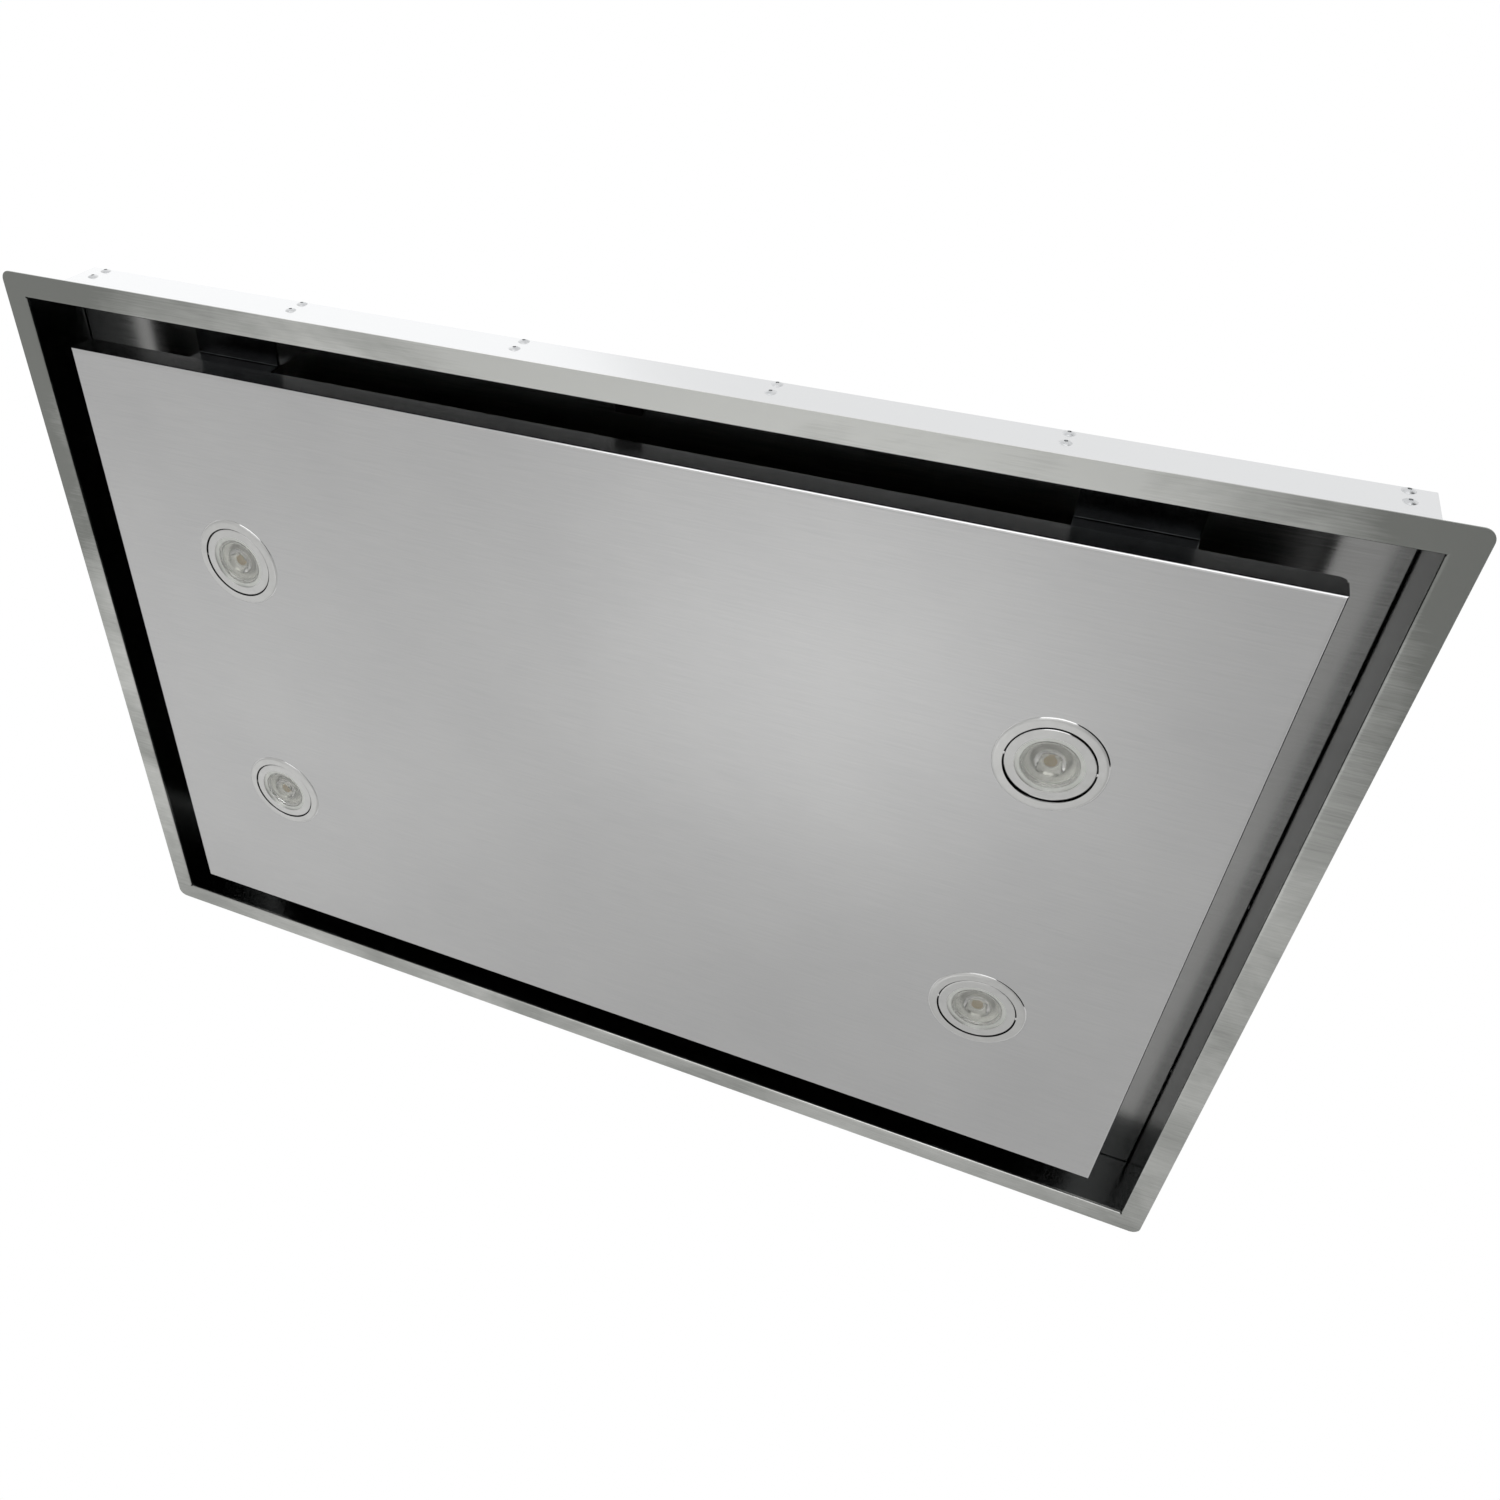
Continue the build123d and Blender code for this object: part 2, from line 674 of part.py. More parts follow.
# ---------------------------------------------------------------- brackets for the ceiling rods
with BuildPart() as suspension_brackets:
    for side in (-1, 1):
        for row in (-1, 1):
            front = row * suspension_y - suspension_width / 2
            rear = front + suspension_width
            leg = sorted((side * housing_x, side * (housing_x + suspension_sheet)))
            arm = sorted((side * housing_x, side * (housing_x + suspension_reach)))
            block((leg[0], front, suspension_top - suspension_leg), (leg[1], rear, suspension_top))
            block((arm[0], front, suspension_top - suspension_sheet), (arm[1], rear, suspension_top))
            with BuildSketch(Plane.XY.offset(suspension_top + overrun)) as slot:
                with Locations((side * (housing_x + slot_out), row * suspension_y)):
                    SlotOverall(slot_length, 2 * slot_radius)
            slot_depth = suspension_sheet + 2 * overrun
            extrude(slot.sketch, amount=-slot_depth, mode=Mode.SUBTRACT)
save(suspension_brackets, "suspension_brackets")

# ---------------------------------------------------------------- blower casing
# Angles run round the fan's shaft from the outlet's outer side, in degrees.
cutoff_angle = math.degrees(math.acos((scroll_end - outlet_width) / scroll_start))
fan_x = outlet_x + outlet_width / 2 - scroll_end


def scroll_radius(angle):
    return scroll_start + scroll_growth * (angle - cutoff_angle) / (360 - cutoff_angle)


front_angle = 270
fan_y = scroll_front_gap + scroll_sheet + scroll_radius(front_angle) - housing_y + housing_sheet
fan_plane = Plane(origin=(fan_x, fan_y, 0))


def scroll_point(angle, grow):
    """A point of the spiral, moved outwards by grow."""
    radius = scroll_radius(angle) + grow
    turn = math.radians(angle)
    return (fan_x + radius * math.cos(turn), fan_y + radius * math.sin(turn))


def tongue_angle(grow):
    """Where the spiral, moved outwards by grow, meets the outlet's inner side."""
    angle = cutoff_angle
    for _ in range(12):
        inner_side = scroll_end - outlet_width - grow
        angle = math.degrees(math.acos(inner_side / (scroll_radius(angle) + grow)))
    return angle


def scroll_outline(grow, mouth, level):
    """The casing seen from above: a spiral of arcs that runs out into a straight outlet."""
    first = tongue_angle(grow)
    step = (360 - first) / scroll_arcs
    points = [scroll_point(first + i * step / 2, grow) for i in range(2 * scroll_arcs + 1)]
    with BuildSketch(Plane.XY.offset(level)) as outline:
        with BuildLine():
            for i in range(scroll_arcs):
                ThreePointArc(*points[2 * i : 2 * i + 3])
            Polyline(points[-1], (points[-1][0], mouth), (points[0][0], mouth), points[0])
        make_face()
    return outline.sketch


with BuildPart() as scroll_casing:
    extrude(scroll_outline(scroll_sheet, scroll_mouth, scroll_level), amount=scroll_height)
    inside_outline = scroll_outline(0, scroll_mouth + overrun, scroll_level + scroll_sheet)
    extrude(inside_outline, amount=scroll_height, mode=Mode.SUBTRACT)
    inlet_hole = inlet_radius + inlet_flare + scroll_sheet + inlet_gap
    hole((fan_x, fan_y, scroll_level), (0, 0, 1), 2 * scroll_sheet, inlet_hole)
save(scroll_casing, "scroll_casing")

with BuildPart() as scroll_top:
    extrude(scroll_outline(scroll_sheet, scroll_mouth, scroll_top_level), amount=scroll_sheet)
    hole((fan_x, fan_y, scroll_top_level), (0, 0, 1), 2 * scroll_sheet, motor_hole)
save(scroll_top, "scroll_top")

with BuildPart() as inlet_ring:
    ring_low = scroll_level - scroll_sheet
    ring_top = scroll_level + inlet_rise
    ring_outline = [
        (inlet_radius, ring_top),
        (inlet_radius, ring_low + inlet_flare),
        (inlet_radius + inlet_flare, ring_low),
        (inlet_radius + inlet_flange, ring_low),
        (inlet_radius + inlet_flange, scroll_level),
        (inlet_radius + inlet_flare + scroll_sheet, scroll_level),
        (inlet_radius + scroll_sheet, scroll_level + inlet_flare),
        (inlet_radius + scroll_sheet, ring_top),
    ]
    turned(ring_outline, fan_plane)
save(inlet_ring, "inlet_ring")

# ---------------------------------------------------------------- impeller and its shaft
boss_low = cup_floor - boss_below
boss_top = cup_floor + impeller_sheet + boss_above


def round_fan(radius, degrees):
    """A point at a radius and an angle round the fan's shaft."""
    turn = math.radians(degrees)
    return (fan_x + radius * math.cos(turn), fan_y + radius * math.sin(turn))


with BuildPart() as impeller:
    boss_bore = shaft_radius + shaft_press
    cup_top = blade_top - impeller_sheet
    hub_outline = [
        (boss_bore, boss_low),
        (boss_radius, boss_low),
        (boss_radius, cup_floor),
        (cup_radius, cup_floor),
        (cup_radius, cup_top),
        (impeller_radius, cup_top),
        (impeller_radius, blade_top),
        (cup_radius - impeller_sheet, blade_top),
        (cup_radius - impeller_sheet, cup_floor + impeller_sheet),
        (boss_radius, cup_floor + impeller_sheet),
        (boss_radius, boss_top),
        (boss_bore, boss_top),
    ]
    turned(hub_outline, fan_plane)
    eye_ring = [
        (impeller_radius - eye_ring_width, blade_bottom),
        (impeller_radius, blade_bottom),
        (impeller_radius, blade_bottom + impeller_sheet),
        (impeller_radius - eye_ring_width, blade_bottom + impeller_sheet),
    ]
    turned(eye_ring, fan_plane)
    with BuildSketch(Plane.XY.offset(blade_bottom)) as blades:
        for i in range(blade_count):
            start = 360 * i / blade_count
            with BuildLine(mode=Mode.PRIVATE) as camber:
                root = round_fan(eye_radius, start)
                waist = round_fan(eye_radius + blade_depth / 2, start + blade_lean)
                tip = round_fan(impeller_radius - blade_sheet / 2, start + blade_sweep)
                ThreePointArc(root, waist, tip)
            trace(camber.line, line_width=blade_sheet)
    extrude(blades.sketch, amount=blade_height)
save(impeller, "impeller")

with BuildPart() as motor_shaft:
    nut_low = boss_low - shaft_nut_height
    shaft_low = nut_low - shaft_tip
    rod((fan_x, fan_y, shaft_low), (0, 0, 1), motor_low + shaft_in_motor - shaft_low, shaft_radius)
    with BuildSketch(Plane(origin=(fan_x, fan_y, nut_low))) as nut:
        RegularPolygon(shaft_nut, 6)
    extrude(nut.sketch, amount=shaft_nut_height)
save(motor_shaft, "motor_shaft")

# ---------------------------------------------------------------- motor, its plate and what carries them
with BuildPart() as fan_motor:
    bore = shaft_radius + shaft_play
    bore_top = motor_low + shaft_in_motor + shaft_end_gap
    casing_low = motor_low + motor_neck
    flange_low = motor_top - motor_flange_height
    motor_outline = [
        (bore, motor_low),
        (motor_neck_radius, motor_low),
        (motor_neck_radius, casing_low),
        (motor_radius - motor_shoulder, casing_low),
        (motor_radius, casing_low + motor_shoulder),
        (motor_radius, flange_low),
        (motor_radius + motor_flange, flange_low),
        (motor_radius + motor_flange, motor_top),
        (0, motor_top),
        (0, bore_top),
        (bore, bore_top),
    ]
    turned(motor_outline, fan_plane)
    vents_low = casing_low + motor_vent_inset
    with BuildSketch(Plane.XY.offset(vents_low)) as vents:
        with Locations((fan_x, fan_y)):
            with PolarLocations(motor_radius, motor_vents):
                Rectangle(2 * motor_vent_depth, motor_vent_width)
    extrude(vents.sketch, amount=flange_low - motor_vent_inset - vents_low, mode=Mode.SUBTRACT)
save(fan_motor, "fan_motor")

with BuildPart() as motor_plate:
    with BuildSketch(Plane.XY.offset(motor_top)):
        with Locations((fan_x, fan_y)):
            Circle(motor_plate_radius)
            with PolarLocations(motor_plate_hole_circle, motor_plate_holes):
                Circle(motor_plate_hole_radius, mode=Mode.SUBTRACT)
    extrude(amount=motor_plate_sheet)
save(motor_plate, "motor_plate")

with BuildPart() as vibration_mounts:
    waist_radius = mount_radius - mount_waist
    buffer_outline = [
        (0, motor_top),
        (mount_radius, motor_top),
        (mount_radius, motor_top + mount_band),
        (waist_radius, (motor_top + housing_top_level) / 2),
        (mount_radius, housing_top_level - mount_band),
        (mount_radius, housing_top_level),
        (0, housing_top_level),
    ]
    for corner_angle in (45, 135, 225, 315):
        buffer_x, buffer_y = round_fan(mount_circle, corner_angle)
        turned(buffer_outline, Plane(origin=(buffer_x, buffer_y, 0)))
save(vibration_mounts, "vibration_mounts")

with BuildPart() as run_capacitor:
    can_y = scroll_mouth - capacitor_inset
    can_z = motor_top + capacitor_clip + capacitor_radius
    rod((outlet_x - capacitor_length / 2, can_y, can_z), (1, 0, 0), capacitor_length, capacitor_radius)
    clip_left = outlet_x - capacitor_clip_width / 2
    clip_right = outlet_x + capacitor_clip_width / 2
    rod((clip_left, can_y, can_z), (1, 0, 0), capacitor_clip_width, capacitor_radius + capacitor_clip)
    foot_reach = capacitor_radius + capacitor_foot
    foot_top = motor_top + capacitor_clip
    block((clip_left, can_y - foot_reach, motor_top), (clip_right, can_y + foot_reach, foot_top))
save(run_capacitor, "run_capacitor")

# ---------------------------------------------------------------- outlet collar and dampers
outlet_plane = Plane(origin=(outlet_x, housing_y, outlet_z), x_dir=(1, 0, 0), z_dir=(0, 1, 0))
damper_plane = outlet_plane.offset(damper_level)
pin_half = collar_radius - damper_pin_inset


def along_pin(low, high, radius, mode=Mode.ADD):
    """A bar about the damper pin between two heights, measured from the outlet's axis."""
    rod((outlet_x, damper_y, outlet_z + low), (0, 0, 1), high - low, radius, mode)


with BuildPart() as outlet_collar:
    with BuildSketch(outlet_plane) as plate:
        RectangleRounded(collar_plate, collar_plate, collar_corner)
        Circle(collar_radius - collar_wall, mode=Mode.SUBTRACT)
        with GridLocations(2 * collar_screw, 2 * collar_screw, 2, 2):
            Circle(screw_radius + hole_play, mode=Mode.SUBTRACT)
    extrude(plate.sketch, amount=collar_plate_sheet)
    with BuildSketch(outlet_plane) as pipe:
        Circle(collar_radius)
        Circle(collar_radius - collar_wall, mode=Mode.SUBTRACT)
    extrude(pipe.sketch, amount=collar_length)
    drill_half = collar_radius + overrun
    along_pin(-drill_half, drill_half, damper_pin_radius + shaft_press, Mode.SUBTRACT)
save(outlet_collar, "outlet_collar")

with BuildPart() as damper_pin:
    along_pin(-pin_half, pin_half, damper_pin_radius)
save(damper_pin, "damper_pin")

# the dampers' hubs take turns along the pin
hub_span = 2 * (damper_radius - damper_hub_inset)
hub_pitch = hub_span / damper_hubs
hub_room = damper_hub + damper_hub_gap
for name, side in SIDES:
    with BuildPart() as damper:
        with BuildSketch(damper_plane) as leaf:
            Circle(damper_radius)
            with Locations(((hub_room - damper_radius) * side, 0)):
                Rectangle(2 * damper_radius, 2 * damper_radius, mode=Mode.SUBTRACT)
        extrude(leaf.sketch, amount=damper_sheet / 2, both=True)
        for i in range(damper_hubs):
            if (i % 2 == 0) == (side < 0):
                hub_low = -hub_span / 2 + i * hub_pitch + damper_hub_gap / 2
                hub_high = hub_low + hub_pitch - damper_hub_gap
                along_pin(hub_low, hub_high, damper_hub)
                bridge = sorted((outlet_x, outlet_x + side * (hub_room + damper_bridge)))
                bridge_low = (bridge[0], damper_y - damper_sheet / 2, outlet_z + hub_low)
                block(bridge_low, (bridge[1], damper_y + damper_sheet / 2, outlet_z + hub_high))
        along_pin(-damper_radius, damper_radius, damper_pin_radius + damper_play, Mode.SUBTRACT)
    save(damper, f"damper_{name}")

# ---------------------------------------------------------------- control box under the housing's cover
control_left = control_x - control_length / 2
control_right = control_x + control_length / 2
control_front = control_y - control_width / 2
control_rear = control_y + control_width / 2
with BuildPart() as control_box:
    block((control_left, control_front, control_low), (control_right, control_rear, housing_top_level))
    inner_low = (control_left + control_wall, control_front + control_wall, control_low - overrun)
    roof = housing_top_level - control_wall
    inner_high = (control_right - control_wall, control_rear - control_wall, roof)
    block(inner_low, inner_high, Mode.SUBTRACT)
    with BuildSketch(Plane.XY.offset(board_level)) as posts:
        with Locations((control_x, control_y)):
            with GridLocations(control_length - 2 * post_inset, control_width - 2 * post_inset, 2, 2):
                Circle(post_radius)
    extrude(posts.sketch, amount=board_post)
    hole((control_right - control_wall / 2, control_y, gland_z), (1, 0, 0), control_wall, gland_radius)
save(control_box, "control_box")

with BuildPart() as control_box_lid:
    lid_low = (control_left, control_front, control_low - control_wall)
    block(lid_low, (control_right, control_rear, control_low))
    fillet(control_box_lid.edges().filter_by(Axis.Z), control_corner)
save(control_box_lid, "control_box_lid")


def component(x, y, length, width, height):
    """A component that hangs below the circuit board."""
    low = (x - length / 2, y - width / 2, board_level - board_sheet - height)
    block(low, (x + length / 2, y + width / 2, board_level - board_sheet))


with BuildPart() as control_board:
    board_inset = control_wall + board_gap
    board_low = (control_left + board_inset, control_front + board_inset, board_level - board_sheet)
    block(board_low, (control_right - board_inset, control_rear - board_inset, board_level))
    for relay_x in spread(relay_count, relay_span):
        component(control_x + relay_x, control_y - relay_row, relay_length, relay_width, relay_height)
    row_y = control_y + parts_row
    component(control_x - transformer_side, row_y, transformer_length, transformer_width, transformer_height)
    component(control_x + terminal_length / 2, row_y, terminal_length, terminal_width, terminal_height)
save(control_board, "control_board")

with BuildPart() as cable_gland:
    gland_start = housing_x - gland_inside
    rod((gland_start, control_y, gland_z), (1, 0, 0), gland_length + gland_inside, gland_radius)
    with BuildSketch(Plane(origin=(housing_x, control_y, gland_z), z_dir=(1, 0, 0))) as hexagon:
        RegularPolygon(gland_nut, 6)
    extrude(hexagon.sketch, amount=gland_nut_height)
    inner_face = housing_x - housing_sheet
    with BuildSketch(Plane(origin=(inner_face, control_y, gland_z), z_dir=(-1, 0, 0))) as locknut:
        RegularPolygon(gland_nut, 6)
    extrude(locknut.sketch, amount=gland_locknut_height)
    gland_middle = housing_x + (gland_length - gland_inside) / 2
    hole((gland_middle, control_y, gland_z), (1, 0, 0), gland_length + gland_inside, gland_bore)
save(cable_gland, "cable_gland")

with BuildPart() as led_driver:
    driver_left = driver_x - driver_width / 2
    driver_high = (driver_left + driver_width, driver_length / 2, tray_top + driver_height)
    block((driver_left, -driver_length / 2, tray_top), driver_high)
    fillet(led_driver.edges().filter_by(Axis.Z), driver_corner)
    tab_left = driver_x - driver_tab_width / 2
    for side in (-1, 1):
        tab = sorted((side * driver_length / 2, side * (driver_length / 2 + driver_tab)))
        tab_high = (tab_left + driver_tab_width, tab[1], tray_top + driver_tab_sheet)
        block((tab_left, tab[0], tray_top), tab_high)
        tab_hole = (driver_x, side * (driver_length + driver_tab) / 2, tray_top + driver_tab_sheet / 2)
        hole(tab_hole, (0, 0, 1), driver_tab_sheet, screw_radius)
save(led_driver, "led_driver")

with BuildPart() as signal_receiver:
    half_eye = receiver_size / 2
    eye_low = (receiver_x - half_eye, receiver_y - half_eye, tray_level - receiver_below)
    block(eye_low, (receiver_x + half_eye, receiver_y + half_eye, tray_top + receiver_above))
    half_flange = half_eye + receiver_flange
    flange_high = (receiver_x + half_flange, receiver_y + half_eye, tray_top + receiver_flange_sheet)
    block((receiver_x - half_flange, receiver_y - half_eye, tray_top), flange_high)
save(signal_receiver, "signal_receiver")


# ---------------------------------------------------------------- brackets under the tray
def bracket_bent(centre, side, tongue_low):
    """A plate under the tray with a tongue that hangs from its inner edge. side is +1 at the rear."""
    plate = sorted((side * tongue_near, side * tray_width / 2))
    tongue = sorted((side * tongue_near, side * tongue_far))
    left = centre - bracket_width / 2
    right = centre + bracket_width / 2
    with BuildPart(mode=Mode.PRIVATE) as bent:
        block((left, plate[0], tray_level - bracket_sheet), (right, plate[1], tray_level))
        block((left, tongue[0], tongue_low), (right, tongue[1], tray_level))
        lines = bent.edges().filter_by(Axis.X)
        outer_fold = lines.sort_by_distance((centre, side * tongue_near, tray_level))[0]
        fillet(outer_fold, bracket_bend)
        lines = bent.edges().filter_by(Axis.X)
        inner_fold = lines.sort_by_distance((centre, side * tongue_far, tray_level - bracket_sheet))[0]
        fillet(inner_fold, bracket_bend - bracket_sheet)
    return bent.part


with BuildPart() as hinge_brackets:
    for side in (-1, 1):
        centre = side * bracket_x
        add(bracket_bent(centre, 1, hinge_z))
        rod((centre - bracket_width / 2, hinge_y, hinge_z), (1, 0, 0), bracket_width, knuckle_radius)
        room = knuckle_length / 2 + knuckle_gap
        reach = knuckle_radius + knuckle_gap
        room_low = (centre - room, hinge_y - reach, hinge_z - reach)
        block(room_low, (centre + room, hinge_y + reach, hinge_z + reach), Mode.SUBTRACT)
        hole((centre, hinge_y, hinge_z), (1, 0, 0), bracket_width, hinge_pin_radius + hinge_press)
save(hinge_brackets, "hinge_brackets")

with BuildPart() as hinge_pins:
    for side in (-1, 1):
        pin_length = bracket_width + 2 * hinge_pin_end
        rod((side * bracket_x - pin_length / 2, hinge_y, hinge_z), (1, 0, 0), pin_length, hinge_pin_radius)
save(hinge_pins, "hinge_pins")

with BuildPart() as hinge_leaves:
    for side in (-1, 1):
        centre = side * bracket_x
        left = centre - knuckle_length / 2
        right = centre + knuckle_length / 2
        leaf_front = hinge_y - knuckle_radius
        leaf_rear = leaf_front + leaf_sheet
        rod((left, hinge_y, hinge_z), (1, 0, 0), knuckle_length, knuckle_radius)
        block((left, leaf_front, panel_floor), (right, leaf_rear, hinge_z))
        block((left, leaf_front - leaf_foot, panel_floor), (right, leaf_rear, panel_floor + leaf_sheet))
        hole((centre, hinge_y, hinge_z), (1, 0, 0), knuckle_length, hinge_pin_radius + hinge_play)
save(hinge_leaves, "hinge_leaves")

# ---------------------------------------------------------------- spring catches at the front
with BuildPart() as catch_brackets:
    for side in (-1, 1):
        centre = side * bracket_x
        add(bracket_bent(centre, -1, catch_z - catch_height / 2))
        tongue_middle = (centre, bracket_sheet / 2 - tongue_far, catch_z)
        hole(tongue_middle, (0, 1, 0), bracket_sheet, catch_bolt_radius + catch_window_gap)
save(catch_brackets, "catch_brackets")

with BuildPart() as catch_housings:
    for side in (-1, 1):
        centre = side * bracket_x
        case_low = (centre - catch_width / 2, -tongue_near, catch_z - catch_height / 2)
        block(case_low, (centre + catch_width / 2, catch_back, catch_z + catch_height / 2))
        bore_start = -tongue_near - overrun
        bore_length = catch_back - catch_wall - bore_start
        bore_radius = catch_bolt_radius + hinge_play
        rod((centre, bore_start, catch_z), (0, 1, 0), bore_length, bore_radius, Mode.SUBTRACT)
save(catch_housings, "catch_housings")

well_floor = bolt_back - catch_well
for name, side in SIDES:
    with BuildPart() as catch_bolt:
        centre = side * bracket_x
        nose = catch_bolt_radius
        bulge = nose * math.sqrt(0.5)
        with BuildSketch(Plane(origin=(centre, nose_y, catch_z), x_dir=(1, 0, 0), z_dir=(0, 0, -1))) as half:
            with BuildLine():
                Polyline((0, 0), (0, -catch_bolt_length), (nose, -catch_bolt_length), (nose, -nose))
                ThreePointArc((nose, -nose), (bulge, bulge - nose), (0, 0))
            make_face()
        revolve(half.sketch, axis=Axis((centre, nose_y, catch_z), (0, 1, 0)))
        well_radius = catch_spring_radius + catch_spring_gap
        rod((centre, well_floor, catch_z), (0, 1, 0), catch_well + overrun, well_radius, Mode.SUBTRACT)
    save(catch_bolt, f"catch_bolt_{name}")

with BuildPart() as catch_springs:
    for side in (-1, 1):
        spring_start = well_floor + catch_travel + catch_spring_gap
        spring_length = catch_back - catch_wall - spring_start
        with BuildSketch(Plane(origin=(side * bracket_x, spring_start, catch_z), z_dir=(0, 1, 0))) as coil:
            Circle(catch_spring_radius)
            Circle(catch_spring_radius - catch_spring_wire, mode=Mode.SUBTRACT)
        extrude(coil.sketch, amount=spring_length)
save(catch_springs, "catch_springs")

with BuildPart() as catch_keepers:
    lift = panel_floor + panel_bend - panel_sheet
    keeper_face = panel_sheet - panel_width / 2
    for side in (-1, 1):
        left = side * bracket_x - keeper_width / 2
        right = side * bracket_x + keeper_width / 2
        upright_rear = keeper_face + leaf_sheet
        heel = keeper_face + panel_bend - panel_sheet
        block((left, keeper_face, lift), (right, upright_rear, return_top + keeper_top))
        block((left, keeper_face, lift), (right, upright_rear + leaf_sheet, lift + keeper_stop))
        block((left, heel, panel_floor), (right, keeper_face + keeper_foot, panel_floor + leaf_sheet))
        block((left, heel, panel_floor), (right, upright_rear + leaf_sheet, lift + keeper_stop))
        window_left = side * bracket_x - keeper_window / 2
        window_low = (window_left, keeper_face - overrun, catch_z - keeper_window_height / 2)
        window_rear = upright_rear + overrun
        window_high = (window_left + keeper_window, window_rear, catch_z + keeper_window_height / 2)
        block(window_low, window_high, Mode.SUBTRACT)
save(catch_keepers, "catch_keepers")

# ---------------------------------------------------------------- suction panel
def ear_nips():
    """Rounds off the turned-up edges at the four corners."""
    shoulder = return_top - panel_ear
    bulge = panel_ear * math.sqrt(0.5)
    long_sides = (Plane.XZ, panel_length / 2, panel_width / 2)
    ends = (Plane.YZ, panel_width / 2, panel_length / 2)
    for upright, reach, face in (long_sides, ends):
        for face_side in (-1, 1):
            middle = upright.offset(face_side * (face - panel_sheet / 2))
            for side in (-1, 1):
                corner = side * reach
                inner = corner - side * panel_ear
                with BuildSketch(middle) as nip:
                    with BuildLine():
                        Polyline((corner, shoulder), (corner, return_top), (inner, return_top))
                        crown = (inner + side * bulge, shoulder + bulge)
                        ThreePointArc((inner, return_top), crown, (corner, shoulder))
                    make_face()
                extrude(nip.sketch, amount=panel_sheet / 2, both=True, mode=Mode.SUBTRACT)


with BuildPart() as suction_panel:
    open_box(panel_length, panel_width, panel_face, panel_return, panel_sheet, panel_bend)
    ear_nips()
    for column in (-1, 1):
        for row in (-1, 1):
            lamp_hole = (column * lamp_x, row * lamp_y, panel_face + panel_sheet / 2)
            hole(lamp_hole, (0, 0, 1), panel_sheet, bezel_tube + lamp_panel_gap)
save(suction_panel, "suction_panel")

with BuildPart() as panel_stiffeners:
    half = panel_length / 2 - stiffener_end
    web = stiffener_width / 2
    skirt = web + stiffener_foot
    crest = panel_floor + stiffener_height
    for side in (-1, 1):
        middle = side * stiffener_y
        block((-half, middle - skirt, panel_floor), (half, middle + skirt, panel_floor + stiffener_sheet))
        block((-half, middle - web, panel_floor), (half, middle + web, crest))
        hollow_low = (-half - overrun, middle - web + stiffener_sheet, panel_floor - overrun)
        hollow_high = (half + overrun, middle + web - stiffener_sheet, crest - stiffener_sheet)
        block(hollow_low, hollow_high, Mode.SUBTRACT)
save(panel_stiffeners, "panel_stiffeners")

# ---------------------------------------------------------------- grease filters
for name, side in SIDES:
    left = side * bay_x - filter_width / 2
    right = side * bay_x + filter_width / 2
    filter_top = tray_top + filter_depth
    with BuildPart() as filter_frame:
        block((left, filter_front, tray_top), (right, filter_rear, filter_top))
        sheet = filter_sheet
        channel_low = (left + sheet, filter_front + sheet, tray_top + sheet)
        block(channel_low, (right - sheet, filter_rear - sheet, filter_top - sheet), Mode.SUBTRACT)
        window_low = (left + filter_lip, filter_front + filter_lip, tray_top - overrun)
        window_high = (right - filter_lip, filter_rear - filter_lip, filter_top + overrun)
        block(window_low, window_high, Mode.SUBTRACT)
    save(filter_frame, f"filter_frame_{name}")

    with BuildPart() as filter_mesh:
        fit = filter_sheet + filter_mesh_gap
        mesh_high = (right - fit, filter_rear - fit, filter_top - fit)
        block((left + fit, filter_front + fit, tray_top + fit), mesh_high)
    save(filter_mesh, f"filter_mesh_{name}")

    with BuildPart() as filter_handle:
        handle_rear = filter_front + filter_lip
        handle_front = handle_rear - handle_width
        handle_left = side * bay_x - handle_length / 2
        handle_right = side * bay_x + handle_length / 2
        handle_low = tray_top - handle_drop
        loop_left = handle_left + handle_foot
        loop_right = handle_right - handle_foot
        block((handle_left, handle_front, tray_top - handle_sheet), (loop_left, handle_rear, tray_top))
        block((loop_right, handle_front, tray_top - handle_sheet), (handle_right, handle_rear, tray_top))
        block((loop_left - handle_sheet, handle_front, handle_low), (loop_left, handle_rear, tray_top))
        block((loop_right, handle_front, handle_low), (loop_right + handle_sheet, handle_rear, tray_top))
        grip_low = (loop_left - handle_sheet, handle_front, handle_low)
        block(grip_low, (loop_right + handle_sheet, handle_rear, handle_low + handle_sheet))
    save(filter_handle, f"filter_handle_{name}")


# ---------------------------------------------------------------- downlights
def lamp_planes(column, row, tilt):
    """The bezel's plane and the tilted plane of its ring, both through the pivot."""
    pivot = (column * lamp_x, row * lamp_y, pivot_z)
    lean = math.radians(tilt)
    tilted = Plane(origin=pivot, x_dir=(1, 0, 0), z_dir=(0, math.sin(lean), math.cos(lean)))
    return Plane(origin=pivot), tilted


